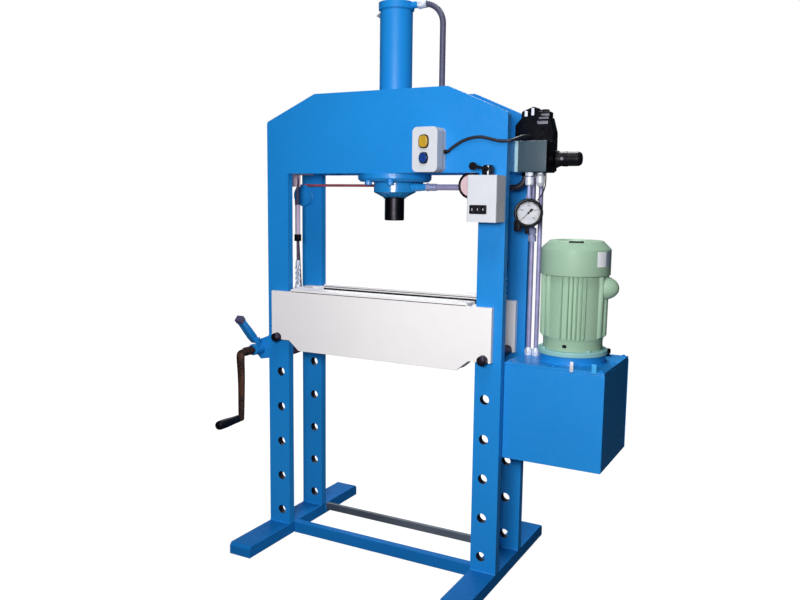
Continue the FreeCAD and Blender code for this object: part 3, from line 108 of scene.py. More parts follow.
def turned(profile, centre, axis="z", steps=56, soft=0, loop=False):
    # a line of radius and height carried round the axis: side = r cos a, up = r sin a
    if soft:
        profile = softLine(profile, soft, closed=loop)
    radius, height = np.array(profile, float).T[:, :, None]
    angle = wholeTurn(steps)
    return shell(spread(axis, radius * np.cos(angle), radius * np.sin(angle), height)
                 + np.array(centre), loop)


def rod(centre, axis, low, high, radius, steps=56, soft=0):
    return turned([(0, low), (radius, low), (radius, high), (0, high)], centre, axis, steps, soft)


def sleeve(centre, axis, low, high, inner, outer, steps=56, soft=0):
    return turned([(inner, low), (outer, low), (outer, high), (inner, high)], centre, axis, steps, soft, True)


def block(low, high, corner=2.0, edge=1.0, axis="z", arcs=4):
    # a rounded rectangle carried along the axis; at both ends it draws in along a quarter circle
    order = list(axisPlaces[axis])
    low, high = np.array(low, float)[order], np.array(high, float)[order]
    half, middle = (high - low) / 2, (high + low) / 2
    turn = np.linspace(0, math.pi / 2, arcs + 1)
    inset = np.concatenate([edge * (1 - np.sin(turn)), edge * (1 - np.sin(turn[::-1]))])
    along = np.concatenate([low[2] + edge * (1 - np.cos(turn)),
                            high[2] - edge * (1 - np.cos(turn[::-1]))])
    inset, along = inset[:, None, None], along[:, None, None]
    bend = np.maximum(corner - inset, 0.05)
    sideSign, upSign = np.array([[1, -1, -1, 1], [1, 1, -1, -1]])[:, None, :, None]
    angle = np.arange(4)[None, :, None] * math.pi / 2 + turn[None, None, :]
    side = middle[0] + sideSign * (half[0] - inset - bend) + bend * np.cos(angle)
    up = middle[1] + upSign * (half[1] - inset - bend) + bend * np.sin(angle)
    points = spread(axis, side, up, along)
    return shell(points.reshape(len(points), -1, 3))


def prism(outline, low, high, axis="z"):
    # an outline of sideways and upwards distances carried from low to high
    side, up = np.array(outline, float).T
    return shell(spread(axis, side[None], up[None], np.array([[low], [high]], float)))


def crossways(path, normal=(0, 1, 0), loop=False):
    # side lies across the path and the given normal, up across the path and side
    along = unit(np.roll(path, -1, 0) - np.roll(path, 1, 0) if loop else np.gradient(path, axis=0))
    side = unit(np.cross(along, np.array(normal, float)))
    return side, np.cross(side, along)


def tube(path, radius, steps=14, normal=(0, 1, 0), flat=(1, 1), loop=False):
    # rings across a path
    path = np.array(path, float)
    side, up = crossways(path, normal, loop)
    angle = wholeTurn(steps)[None, :, None]
    reach = np.broadcast_to(radius, len(path))[:, None, None]
    return shell(path[:, None] + reach * (side[:, None] * np.cos(angle) * flat[0]
                                          + up[:, None] * np.sin(angle) * flat[1]), loop)


def hexHead(centre, axis, across, height, steps=48):
    # the distance to a six-sided outline, cut off by a circle at the outer face
    angle = wholeTurn(steps)
    flats = across / 2 / np.cos((angle + math.pi / 6) % (math.pi / 3) - math.pi / 6)
    outer = np.minimum(flats, across / 2 * 1.01)
    radius = np.stack([flats, flats, outer, outer * 0.9])
    rise = np.array([0, 0.86, 1, 1])[:, None] * height
    return shell(spread(axis, radius * np.cos(angle), radius * np.sin(angle), rise) + np.array(centre))


def oval(power):
    # sideways and upwards shares round a rounded square; a power of 1 gives a circle
    angle = wholeTurn(72)
    return [np.sign(f(angle)) * np.abs(f(angle)) ** power for f in (np.cos, np.sin)]


def evenPath(points, step):
    # points at even distances along a broken line
    points = np.array(points, float)
    length = np.concatenate([[0], np.cumsum(np.linalg.norm(np.diff(points, axis=0), axis=1))])
    spots = np.linspace(0, length[-1], max(int(length[-1] / step), 2) + 1)
    return np.stack([np.interp(spots, length, values) for values in points.T], 1)


def cutCorners(points, rounds=3):
    # every run keeps the points at its first and third quarter, and this is repeated
    points = np.array(points, float)
    for _ in range(rounds):
        runs = np.stack([points[:-1] * 0.75 + points[1:] * 0.25,
                         points[:-1] * 0.25 + points[1:] * 0.75], 1)
        points = np.concatenate([points[:1], runs.reshape(-1, points.shape[1]), points[-1:]])
    return points


def bead(points, size, normal=(0, 1, 0), loop=False):
    # a weld bead: a thin tube whose radius swells and shrinks with every ripple
    path = evenPath(points, size * 0.5)
    if loop:
        path = path[:-1]
    ripple = 1 + 0.13 * np.sin(np.arange(len(path)) * 1.9) + 0.05 * np.sin(np.arange(len(path)) * 0.37)
    return tube(path, size * ripple, 8, normal, loop=loop)


def circle(centre, axis, radius, steps=72, start=0.0, end=360.0):
    # points round an axis, the last one falling on the first for a whole turn
    angle = np.radians(np.linspace(start, end, steps + 1))
    return spread(axis, radius * np.cos(angle), radius * np.sin(angle), 0) + np.array(centre)


# pieces in the scene

def finishMesh(name, mesh, look, body, stands="", sharp=38, bevel=0):
    mesh.shade_smooth()
    mesh.set_sharp_from_angle(angle=math.radians(sharp))
    mesh.materials.clear()
    mesh.materials.append(look)
    piece = bpy.data.objects.new(name, mesh)
    bpy.context.scene.collection.objects.link(piece)
    if bevel:
        edge = piece.modifiers.new("edge", "BEVEL")
        edge.width, edge.segments = bevel / 1000, 3
        edge.limit_method, edge.angle_limit = "ANGLE", math.radians(32)
        even = piece.modifiers.new("even", "WEIGHTED_NORMAL")
        even.keep_sharp = True
    if body:
        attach(piece, body)
    if stands:
        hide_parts(*stands.split())
    return piece


def makePiece(name, shells, look, body="frame", stands="", sharp=38, bevel=0):
    starts = np.cumsum([0] + [len(part[0]) for part in shells])
    points = (np.concatenate([part[0] for part in shells]) + pressShift) / 1000
    faces = [face for part, start in zip(shells, starts) for face in (part[1] + start).tolist()]
    faces += [(end + start).tolist() for part, start in zip(shells, starts) for end in part[2]]
    mesh = bpy.data.meshes.new(name)
    mesh.from_pydata(points, [], faces)
    work = bmesh.new()
    work.from_mesh(mesh)
    bmesh.ops.remove_doubles(work, verts=work.verts, dist=2e-6)
    bmesh.ops.recalc_face_normals(work, faces=work.faces)
    work.to_mesh(mesh)
    work.free()
    return finishMesh(name, mesh, look, body, stands, sharp, bevel)


def softened(node, look, bevel=1.2, sharp=32, joined=True, swell=0.0):
    # a merged copy of a part with its flat faces joined and its edges broken
    work = bmesh.new()
    work.from_mesh(frame["nodes"][node].data)
    bmesh.ops.remove_doubles(work, verts=work.verts, dist=1e-6)
    if joined:
        bmesh.ops.dissolve_limit(work, angle_limit=math.radians(0.6), verts=work.verts, edges=work.edges)
    for point in work.verts:
        point.co += point.normal * swell
    mesh = bpy.data.meshes.new(node + "_soft")
    work.to_mesh(mesh)
    work.free()
    return finishMesh(node + "_soft", mesh, look, bodyOf[node], node, sharp, bevel)


def secondLook(piece, look, chosen):
    # another finish on the faces that the given test picks
    piece.data.materials.append(look)
    for face in piece.data.polygons:
        face.material_index = int(chosen(face))


def dress(node, look):
    # a new finish on a part whose own shape stays in view
    frame["nodes"][node].data.materials.clear()
    frame["nodes"][node].data.materials.append(look)


# finishes

def addNode(tree, kind, sockets=None, **settings):
    node = tree.nodes.new("ShaderNode" + kind)
    for setting, value in settings.items():
        setattr(node, setting, value)
    for socket, value in (sockets or {}).items():
        wire(tree, value, node.inputs[socket])
    return node


def wire(tree, value, socket):
    if isinstance(value, bpy.types.NodeSocket):
        tree.links.new(value, socket)
    else:
        socket.default_value = value


def startFinish(name, metallic=0.0, coat=0.0, coatRoughness=0.1, specular=0.5):
    look = bpy.data.materials.new(name)
    look.use_nodes = True
    shader = look.node_tree.nodes["Principled BSDF"]
    shader.inputs["Metallic"].default_value = metallic
    shader.inputs["Coat Weight"].default_value = coat
    shader.inputs["Coat Roughness"].default_value = coatRoughness
    shader.inputs["Specular IOR Level"].default_value = specular
    place = addNode(look.node_tree, "TexCoord").outputs["Object"]
    return look, look.node_tree, shader, place


def complete(look, shader, colour, roughness, normal):
    # the three sockets that nearly every finish sets
    for socket, value in (("Base Color", colour), ("Roughness", roughness), ("Normal", normal)):
        wire(look.node_tree, value, shader.inputs[socket])
    return look


def maths(tree, way, *values):
    return addNode(tree, "Math", dict(enumerate(values)), operation=way).outputs[0]


def ranged(tree, value, fromRange, toRange):
    # the first range stretched over the second
    sockets = dict(zip(("From Min", "From Max", "To Min", "To Max"), fromRange + toRange))
    return addNode(tree, "MapRange", {"Value": value, **sockets}).outputs[0]


def cloud(tree, place, scale, detail=3.0, stretch=None, fromRange=(0.35, 0.65), toRange=(0.0, 1.0)):
    # noise in the piece's own space with its middle values drawn apart
    if stretch:
        place = addNode(tree, "Mapping", {"Vector": place, "Scale": stretch}).outputs[0]
    noise = addNode(tree, "TexNoise", {"Vector": place, "Scale": scale, "Detail": detail})
    return ranged(tree, noise.outputs[0], fromRange, toRange)


def mixed(tree, share, first, second, way="MIX"):
    node = addNode(tree, "Mix", data_type="RGBA", blend_type=way)
    for value, socket in ((share, 0), (first, 6), (second, 7)):
        wire(tree, value + (1.0,) if isinstance(value, tuple) else value, node.inputs[socket])
    return node.outputs[2]


def darker(colour, share):
    return tuple(value * share for value in colour)


def relief(tree, height, strength, depth, under=None):
    bump = addNode(tree, "Bump", {"Height": height, "Strength": strength, "Distance": depth})
    if under:
        tree.links.new(under, bump.inputs["Normal"])
    return bump.outputs[0]


def enamel(name, colour, deeper, gloss=0.25, peel=0.1, coat=0.3, grime=0.0, specular=0.3, metallic=0.0,
           wave=0.03):
    # sprayed paint: broad drifts of tone, a finer mottle, orange peel, dust in faint downward runs
    look, tree, shader, place = startFinish(name, metallic, coat, 0.12, specular)
    drift = cloud(tree, place, 1.7, 2.0)
    mottle = cloud(tree, place, 24.0, 4.0, toRange=(0.0, 0.07))
    base = mixed(tree, mottle, mixed(tree, drift, colour, deeper), darker(colour, 0.8))
    if grime:
        runs = cloud(tree, place, 3.0, 6.0, (22.0, 22.0, 1.2), (0.52, 0.7), (0.0, grime))
        base = mixed(tree, runs, base, (0.11, 0.09, 0.07))
    wavy = relief(tree, cloud(tree, place, 9.0, 1.0), wave, 0.002)
    return complete(look, shader, base, cloud(tree, place, 60.0, 3.0, toRange=(gloss, gloss + 0.12)),
                    relief(tree, cloud(tree, place, 520.0, 2.0), peel, 0.0003, wavy))


def bareSteel(name, colour, roughness=0.3, lay=(90.0, 90.0, 3.0), metallic=1.0):
    # machined metal: fine marks drawn out along the lay, and smudges
    look, tree, shader, place = startFinish(name, metallic=metallic)
    marks = cloud(tree, place, 9.0, 5.0, lay)
    smudge = cloud(tree, place, 38.0, 4.0, toRange=(0.0, 0.5))
    return complete(look, shader, mixed(tree, smudge, colour, darker(colour, 0.55)),
                    mixed(tree, marks, (roughness,) * 3, (roughness + 0.18,) * 3),
                    relief(tree, marks, 0.12, 0.0002))


def forging(name, colour, rustColour, roughness=0.75):
    # scale and rust over a rough forging: patches in two sizes and deep pits
    look, tree, shader, place = startFinish(name, metallic=0.25)
    patches = cloud(tree, place, 26.0, 8.0, None, (0.46, 0.6))
    flecks = cloud(tree, place, 210.0, 6.0, None, (0.5, 0.66))
    base = mixed(tree, patches, colour, rustColour)
    pits = relief(tree, cloud(tree, place, 160.0, 8.0), 0.5, 0.0006)
    return complete(look, shader, mixed(tree, flecks, base, darker(rustColour, 1.7)),
                    cloud(tree, place, 90.0, toRange=(roughness - 0.15, roughness + 0.1)),
                    relief(tree, patches, 0.3, 0.0006, pits))


def moulded(name, colour, roughness=0.4, grain=0.15, coat=0.0, specular=0.4):
    # moulded plastic: a fine spark-eroded grain and faint handling marks
    look, tree, shader, place = startFinish(name, coat=coat, specular=specular)
    marks = cloud(tree, place, 15.0, 5.0, toRange=(0.0, 0.14))
    return complete(look, shader, mixed(tree, marks, colour, darker(colour, 0.72)),
                    cloud(tree, place, 45.0, toRange=(roughness - 0.05, roughness + 0.08)),
                    relief(tree, cloud(tree, place, 900.0, 3.0), grain, 0.0002))


def ribbedHose(name, colour, across=26.0):
    # hose cover: cloth wrap marks at a slant and a chalky bloom
    look, tree, shader, place = startFinish(name)
    wrap = addNode(tree, "TexWave", {"Vector": place, "Scale": across, "Distortion": 1.5,
                   "Detail": 2.0}, wave_type="BANDS", bands_direction="DIAGONAL")
    bloom = cloud(tree, place, 30.0, 5.0, toRange=(0.0, 0.45))
    return complete(look, shader, mixed(tree, bloom, colour, darker(colour, 0.62)), 0.5,
                    relief(tree, wrap.outputs["Fac"], 0.25, 0.0004))


def laidRope(name, colour, across, back):
    # six strands round an upright rope: the sine of six times the angle plus the height
    look, tree, shader, place = startFinish(name, metallic=0.6)
    x, y, height = addNode(tree, "SeparateXYZ", {"Vector": place}).outputs
    turn = maths(tree, "ARCTAN2", maths(tree, "SUBTRACT", y, back), maths(tree, "SUBTRACT", x, across))
    lean = maths(tree, "MULTIPLY_ADD", height, 850.0, maths(tree, "MULTIPLY", turn, 6.0))
    strand = maths(tree, "SINE", lean)
    grease = cloud(tree, place, 60.0, 5.0, toRange=(0.0, 0.6))
    # the base colour is multiplied darker in the valleys between strands: painted shade
    valleyShade = ranged(tree, strand, (-1.0, -0.2), (0.35, 1.0))
    base = mixed(tree, grease, colour, darker(colour, 0.5))
    return complete(look, shader, mixed(tree, 1.0, base, valleyShade, "MULTIPLY"), 0.5,
                    relief(tree, strand, 0.9, 0.0008))


def clearGlass(name):
    look, tree, shader, place = startFinish(name)
    shader.inputs["Base Color"].default_value = (0.97, 0.98, 1.0, 1.0)
    shader.inputs["Transmission Weight"].default_value = 1.0
    shader.inputs["IOR"].default_value = 1.2
    wire(tree, cloud(tree, place, 40.0, toRange=(0.0, 0.05)), shader.inputs["Roughness"])
    return look


blueEnamel = enamel("blueEnamel", (0.010, 0.225, 0.62), (0.009, 0.205, 0.58), 0.34, 0.04, 0.06)
tankEnamel = enamel("tankEnamel", (0.012, 0.235, 0.64), (0.010, 0.21, 0.59), 0.32, 0.05, 0.08)
slateEnamel = enamel("slateEnamel", (0.040, 0.070, 0.095), (0.034, 0.062, 0.085), 0.4, 0.05, 0.03)
tieEnamel = enamel("tieEnamel", (0.12, 0.145, 0.19), (0.045, 0.06, 0.085), 0.4, 0.05, 0.05, 0.3, 0.4, 0.1)
# a darker copy of the frame's blue for the feet and front tie bar: painted shade near the floor
lowShadeEnamel = enamel("lowShadeEnamel", (0.007, 0.155, 0.47), (0.006, 0.13, 0.41), 0.5, 0.04, 0.0, 0.0, 0.08)
# a glossier copy of the frame's blue for the gland; its lighter colour is painted light
glandLitEnamel = enamel("glandLitEnamel", (0.016, 0.27, 0.66), (0.014, 0.24, 0.62), 0.16, 0.02, 0.5, 0.0, 0.6)
# near-black rough steel for the pin holes' walls: painted shade inside the bores
boreShadeSteel = forging("boreShadeSteel", (0.004, 0.006, 0.016), (0.012, 0.008, 0.012), 0.6)
# a lighter copy of the tank's blue for the cover lug: painted light
tabLitEnamel = enamel("tabLitEnamel", (0.05, 0.36, 0.74), (0.04, 0.33, 0.70), 0.3, 0.04, 0.1)
tealEnamel = enamel("tealEnamel", (0.30, 0.47, 0.54), (0.26, 0.43, 0.50), 0.35, 0.05, 0.1)
whiteEnamel = enamel("whiteEnamel", (0.80, 0.78, 0.79), (0.76, 0.74, 0.76), 0.4, 0.05, 0.05)
motorEnamel = enamel("motorEnamel", (0.30, 0.455, 0.33), (0.27, 0.42, 0.31), 0.45, 0.03, 0.03, wave=0.004)
knobEnamel = enamel("knobEnamel", (0.10, 0.095, 0.19), (0.05, 0.05, 0.11), 0.4, 0.2, 0.0, 0.2)
flangeEnamel = enamel("flangeEnamel", (0.26, 0.50, 0.48), (0.22, 0.44, 0.44), 0.4, 0.08, 0.05)
blackEnamel = enamel("blackEnamel", (0.004, 0.004, 0.006), (0.003, 0.003, 0.005), 0.24, 0.06, 0.0, 0.0, 0.1)
# near-black paint for the bands under the table's top strips: painted shade
underStripShade = enamel("underStripShade", (0.02, 0.018, 0.018), (0.012, 0.012, 0.012), 0.6, 0.08, 0.0, 0.0, 0.1)
hangerZinc = enamel("hangerZinc", (0.85, 0.62, 0.66), (0.75, 0.54, 0.58), 0.35, 0.1, 0.1)
darkSteel = bareSteel("darkSteel", (0.028, 0.026, 0.032), 0.3, (4.0, 4.0, 160.0))
pinSteel = bareSteel("pinSteel", (0.05, 0.04, 0.065), 0.35, (90.0, 4.0, 90.0))
brightSteel = bareSteel("brightSteel", (0.66, 0.68, 0.74), 0.3, metallic=0.7)
dullScrew = bareSteel("dullScrew", (0.16, 0.16, 0.19), 0.4, metallic=0.4)
zincFitting = bareSteel("zincFitting", (0.74, 0.78, 0.88), 0.4, metallic=0.35)
lilacFitting = bareSteel("lilacFitting", (0.34, 0.37, 0.60), 0.4, metallic=0.3)
pipeSteel = bareSteel("pipeSteel", (0.34, 0.33, 0.56), 0.4, metallic=0.3)
ropeWire = bareSteel("ropeWire", (0.42, 0.09, 0.13), 0.5, metallic=0.3)
liftWire = bareSteel("liftWire", (0.25, 0.19, 0.30), 0.45, metallic=0.4)
rustyForging = forging("rustyForging", (0.008, 0.003, 0.003), (0.055, 0.017, 0.008))
boxGrey = moulded("boxGrey", (0.54, 0.56, 0.61), 0.45, 0.06, 0.0, 0.25)
blackPlastic = moulded("blackPlastic", (0.005, 0.005, 0.008), 0.35, specular=0.15)
yellowPlastic = moulded("yellowPlastic", (0.44, 0.27, 0.02), 0.25, 0.05, 0.4)
bluePlastic = moulded("bluePlastic", (0.006, 0.035, 0.20), 0.25, 0.05, 0.4)
dialWhite = moulded("dialWhite", (0.78, 0.78, 0.82), 0.5)
plateWhite = moulded("plateWhite", (0.82, 0.85, 0.90), 0.3)
# a grey-blue copy of the name plate's white: painted shade on its far part
plateShadeBlue = moulded("plateShadeBlue", (0.27, 0.33, 0.42), 0.3)
lilacSleeve = moulded("lilacSleeve", (0.60, 0.48, 0.62), 0.45)
hoseCover = ribbedHose("hoseCover", (0.07, 0.07, 0.13))
paleHose = ribbedHose("paleHose", (0.30, 0.28, 0.46))
# near-black cover for the return hose's far run: painted shade behind the switch box and leg
shadedHose = ribbedHose("shadedHose", (0.010, 0.010, 0.020))
cableCover = ribbedHose("cableCover", (0.010, 0.010, 0.022), 60.0)
gaugeGlass = clearGlass("gaugeGlass")

print("finishes made")


# camera, lamps, floor and backdrop

def turnBy(degrees, axis):
    return Matrix.Rotation(math.radians(degrees), 4, axis)


cameraSpot = {"place": (1.3132, -2.5860, 1.3359), "azimuth": 28.481, "down": 7.315, "roll": 0.673,
              "focal": 35.93}
camera = bpy.data.objects.new("camera", bpy.data.cameras.new("camera"))
camera.data.lens, camera.data.sensor_width = cameraSpot["focal"], 36
camera.matrix_world = (Matrix.Translation(Vector(cameraSpot["place"]))
                       @ turnBy(cameraSpot["azimuth"], "Z") @ turnBy(90 - cameraSpot["down"], "X")
                       @ turnBy(cameraSpot["roll"], "Z"))
bpy.context.scene.collection.objects.link(camera)
bpy.context.scene.camera = camera
bpy.context.scene.view_settings.view_transform = "Standard"


def addLamp(name, place, aim, power, size, colour=(1.0, 1.0, 1.0)):
    lamp = bpy.data.objects.new(name, bpy.data.lights.new(name, "AREA"))
    lamp.data.energy, lamp.data.size, lamp.data.color = power, size, colour
    place = Vector(place)
    lamp.matrix_world = (Matrix.Translation(place)
                         @ (Vector(aim) - place).to_track_quat("-Z", "Y").to_matrix().to_4x4())
    bpy.context.scene.collection.objects.link(lamp)


addLamp("frontLamp", (0.70, -2.5, 1.58), (0.05, 0.0, 0.95), 43, 0.6, (1.0, 0.99, 0.98))
addLamp("flashLamp", (1.22, -2.62, 1.55), (0.1, 0.0, 1.0), 25, 0.25, (1.0, 0.99, 0.98))
addLamp("topLamp", (0.6, -1.4, 3.6), (0.2, 0.0, 0.8), 38, 1.0)
addLamp("backTopLamp", (-0.2, 1.2, 3.3), (0.0, 0.0, 0.8), 62, 1.2)
addLamp("rearLamp", (-1.9, 2.6, 2.2), (0.0, 0.0, 1.0), 26, 1.8, (0.94, 0.97, 1.0))

# white for the camera, dim and bluish for everything else
world = bpy.data.worlds.new("studio")
bpy.context.scene.world = world
world.use_nodes = True
worldTree = world.node_tree
rays = addNode(worldTree, "LightPath").outputs
seen = maths(worldTree, "MAXIMUM", rays["Is Camera Ray"], rays["Is Transmission Ray"])
soft = addNode(worldTree, "Background", {"Color": (0.6, 0.8, 1.0, 1.0), "Strength": 0.045})
white = addNode(worldTree, "Background", {"Color": (1.0, 1.0, 1.0, 1.0), "Strength": 1.0})
both = addNode(worldTree, "MixShader", {0: seen, 1: soft.outputs[0], 2: white.outputs[0]})
worldTree.links.new(both.outputs[0], worldTree.nodes["World Output"].inputs["Surface"])

# grey to the lamps' light, but it glows for the camera, fully from 2.2 metres out
floorLook, floorTree, floorShader, floorPlace = startFinish("floorLook")
floorRays = addNode(floorTree, "LightPath").outputs
ground = mixed(floorTree, cloud(floorTree, floorPlace, 1.2), (0.16, 0.16, 0.165), (0.15, 0.15, 0.155))
wire(floorTree, mixed(floorTree, floorRays["Is Glossy Ray"], ground, (0.01, 0.012, 0.015)),
     floorShader.inputs["Base Color"])
floorShader.inputs["Roughness"].default_value = 0.9
away = addNode(floorTree, "VectorMath", {0: floorPlace}, operation="LENGTH")
far = ranged(floorTree, away.outputs["Value"], (0.8, 2.2), (0.9, 1.0))
wire(floorTree, (1.0, 1.0, 1.0, 1.0), floorShader.inputs["Emission Color"])
wire(floorTree, maths(floorTree, "MULTIPLY", floorRays["Is Camera Ray"], far),
     floorShader.inputs["Emission Strength"])
floorMesh = bpy.data.meshes.new("floor")
floorMesh.from_pydata([(-9, -9, -0.0005), (9, -9, -0.0005), (9, 9, -0.0005), (-9, 9, -0.0005)], [],
                      [(0, 1, 2, 3)])
floorMesh.materials.append(floorLook)
floor = bpy.data.objects.new("floor", floorMesh)
bpy.context.scene.collection.objects.link(floor)
print("camera, lamps and floor placed")


# frame

legs = {"inner": 389, "outer": 484, "footTop": 44, "plates": (-128, -98, 98, 128), "tieHigh": 42,
        "holeAcross": 427, "holeFirst": 98, "holePitch": 140, "holes": 6, "shadeLining": (16.75, 17.25)}
for node in ("front_frame_plate", "rear_frame_plate"):
    softened(node, blueEnamel, 2.2)
# the feet and front tie bar take the darker blue, painted shade low down
for node in ("left_foot", "right_foot", "front_tie_bar"):
    softened(node, lowShadeEnamel, 2.0)
softened("head_spacers", blueEnamel, 2.0)
softened("rear_tie_bar", tieEnamel, 1.5)
beads = [bead([(side * legs["inner"], back, legs["footTop"]),
               (side * legs["outer"], back, legs["footTop"])], 3.2)
         for side in (-1, 1) for back in legs["plates"]]
beads += [bead([(across, back, 2), (across, back, legs["tieHigh"])], 2.6)
          for across in (-legs["inner"], legs["inner"]) for back in (-68, 128.5)]
beads.append(bead([(legs["outer"], 128, 1426), (legs["outer"], 128, 1523)], 2.2))
makePiece("frameWelds", beads, blueEnamel)
# near-black sleeves inside every pin hole: painted shade in the bores
boreShades = [sleeve((across, 0, legs["holeFirst"] + legs["holePitch"] * row), "y", low, low + 26,
                *legs["shadeLining"], 40)
         for across in (-legs["holeAcross"], legs["holeAcross"]) for low in (-126, 100)
         for row in range(legs["holes"])]
makePiece("boreShadeWalls", boreShades, boreShadeSteel)
print("frame done")


# cylinder, flange, gland and ram

cylinder = {"tube": 59, "tubeTop": 1998, "flangeFace": 1392, "boltSpread": 45, "boltRow": 113, "rod": 36.1,
            "bleed": 1987, "wiper": 1331.5}
softened("cylinder_tube", blueEnamel, 0.8)
softened("cylinder_cap", blueEnamel, 1.6)
softened("cylinder_flange", blueEnamel, 1.4)
# the gland in the lighter blue, painted light on its front
softened("cylinder_gland", glandLitEnamel, 1.2)
ringBeads = [bead(circle((0, 0, height), "z", cylinder["tube"] + 1, 120), size, (0, 0, 1), True)
             for height, size in ((cylinder["tubeTop"], 2.2), (cylinder["flangeFace"] + 28.5, 2.4))]
makePiece("cylinderWelds", ringBeads, blueEnamel)
heads = []
for across in (-cylinder["boltSpread"], cylinder["boltSpread"]):
    for back in (-cylinder["boltRow"], cylinder["boltRow"]):
        heads.append(rod((across, back, cylinder["flangeFace"] - 2), "z", 0, 2, 14, 32, 0.5))
        heads.append(hexHead((across, back, cylinder["flangeFace"] - 2.1), "z", 22.6, -10.5))
makePiece("flangeBoltHeads", heads, blueEnamel)
lip = [(cylinder["rod"], 0), (41, 0), (41, 4), (38.5, 6), (cylinder["rod"], 6)]
makePiece("rodWiper", [turned(lip, (0, 0, cylinder["wiper"]), loop=True, soft=0.6)], blackPlastic, sharp=50)
bleed = [hexHead((-64, 0, cylinder["bleed"]), "x", 15, -8),
         turned([(0, 0), (3.4, 0), (3.4, 5), (2, 8), (0, 8)], (-80, 0, cylinder["bleed"]), "x", 20)]
makePiece("bleedScrew", bleed, brightSteel)
dress("ram", darkSteel)
print("cylinder done")


# hoses, return valve and pipes

hoses = {"top": 2010, "down": 1500, "back": 1373.5, "radius": 10.5, "riser": 503, "bend": 40,
         "valve": (321, -42, 1379.5), "rim": 41.5, "wire": 4.5}
pipes = {"pressurePipe": ("pressure_pipe", 509), "tankPipe": ("tank_return_pipe", 536), "rear": 70,
         "radius": 8, "low": 792, "top": 1429}


def crimped(start, end, radius, centre, axis="x"):
    # a ferrule with five pressed rings: radius * (1 + a small sine along its length)
    height = np.linspace(start, end, 40)
    swell = radius * (1 + 0.045 * np.sin((height - start) / (end - start) * math.pi * 10))
    swell[[0, -1]] = radius * 0.86
    profile = [(0, start)] + list(zip(swell, height)) + [(0, end)]
    return turned(profile, centre, axis, 32)


topLine, downLine, backLine = ((0, 0, hoses[end]) for end in ("top", "down", "back"))
ends = [hexHead((90, 0, hoses["top"]), "x", 29, 14), crimped(104, 122, 13.6, topLine),
        crimped(400, 436, 14.4, downLine), hexHead((436, 0, hoses["down"]), "x", 27, 4)]
makePiece("topHoseEnds", ends, zincFitting)
ends = [hexHead((132, 0, hoses["back"]), "x", 25, 9), crimped(141, 172, 12.6, backLine),
        crimped(272, 296, 13, backLine), hexHead((296, 0, hoses["back"]), "x", 27, 7)]
makePiece("returnHoseEnds", ends, lilacFitting)
# the fittings of the hose's far run in dark steel: painted shade
ends = [hexHead((346, 0, hoses["back"]), "x", 26, -7), crimped(346, 372, 13, backLine),
        crimped(1412, 1423, 13.2, (hoses["riser"], 0, 0), "z")]
makePiece("shadedHoseEnds", ends, darkSteel)
dress("top_hose", hoseCover)
firstRun = [(across, 0, hoses["back"]) for across in (135, 220, 303)]
makePiece("returnHoseRun", [tube(firstRun, hoses["radius"], 28)], paleHose, stands="return_hose", sharp=50)
# the far run of the return hose in the near-black cover: painted shade
secondRun = [(339, 0, hoses["back"]), (400, 0, hoses["back"])]
bend = np.radians(np.linspace(-90, 0, 25))
secondRun += [(hoses["riser"] + hoses["bend"] * (math.cos(a) - 1), 0,
               hoses["back"] + hoses["bend"] * (math.sin(a) + 1)) for a in bend]
secondRun.append((hoses["riser"], 0, 1423))
makePiece("returnHoseBend", [tube(secondRun, hoses["radius"], 28)], shadedHose, stands="return_hose", sharp=50)

softened("return_valve", zincFitting, 1.5)
lobes = circle(hoses["valve"], "y", hoses["rim"], 120)[:-1]
rim = tube(lobes, hoses["wire"] * (1 + 0.06 * np.cos(np.arange(120) * math.pi / 3)), loop=True)
makePiece("handwheelRim", [rim], blackPlastic, "handwheel", "valve_handwheel")
dish = turned([(0, -2.2), (11, -2.2), (14, 0), (34, 2.2), (40.5, 1), (40.5, -1), (34, 0.2), (14, -2.4),
               (12, -4.2), (0, -4.2)], hoses["valve"], "y", 64, 0.8)
makePiece("handwheelWeb", [dish], hangerZinc, "handwheel", "valve_handwheel")
hub = [hexHead((321, -46, 1379.5), "y", 13, -5), rod((321, -42.3, 1379.5), "y", 0, 12, 5, 24)]
makePiece("handwheelHub", hub, brightSteel, "handwheel", "valve_handwheel")
for name in ("pressurePipe", "tankPipe"):
    node, across = pipes[name]
    axis = (across, pipes["rear"], 0)
    run = rod(axis, "z", pipes["low"], pipes["top"], pipes["radius"], 28)
    makePiece(name + "Run", [run], pipeSteel, stands=node)
    nuts = [turned([(0, 790), (12.5, 790), (12.5, 794), (10.5, 796), (0, 796)], axis, steps=32),
            hexHead((across, pipes["rear"], 796), "z", 23, 15),
            turned([(0, 811), (10.4, 811), (8.6, 817), (0, 817)], axis, steps=28),
            hexHead((across, pipes["rear"], 1430), "z", 20.5, -17),
            turned([(0, 1408), (8.5, 1408), (9.6, 1413), (0, 1413)], axis, steps=28)]
    makePiece(name + "Nuts", nuts, zincFitting)
unions = [hexHead((509, 70, 1190), "z", 25, 22), rod((509, 70, 1210), "z", 0, 8, 11, 32, 1),
          hexHead((509, 70, 1217), "z", 25, 20)]
makePiece("pipeUnions", unions, lilacFitting)
print("hoses and pipes done")


# valve group

valve = {"coil": (579, 71, 1471), "front": 42.3, "rear": 98, "bulb": (566, -30, 0),
         "outline": [(484, 1430), (579, 1430), (579, 1560), (565, 1610), (533, 1616), (523, 1635),
                     (510, 1646), (468, 1630), (466, 1606), (446, 1586), (446, 1526.5), (484, 1526.5)]}
makePiece("connectorFlange", [block((474, -58, 1424), (495, 42, 1525), 2, 1, "x")], tealEnamel,
          stands="valve_connector")
case = makePiece("connectorCase", [block((495, -54, 1423.5), (592, 42, 1525.5), 4, 2.5, "x")], slateEnamel,
                 stands="valve_connector")
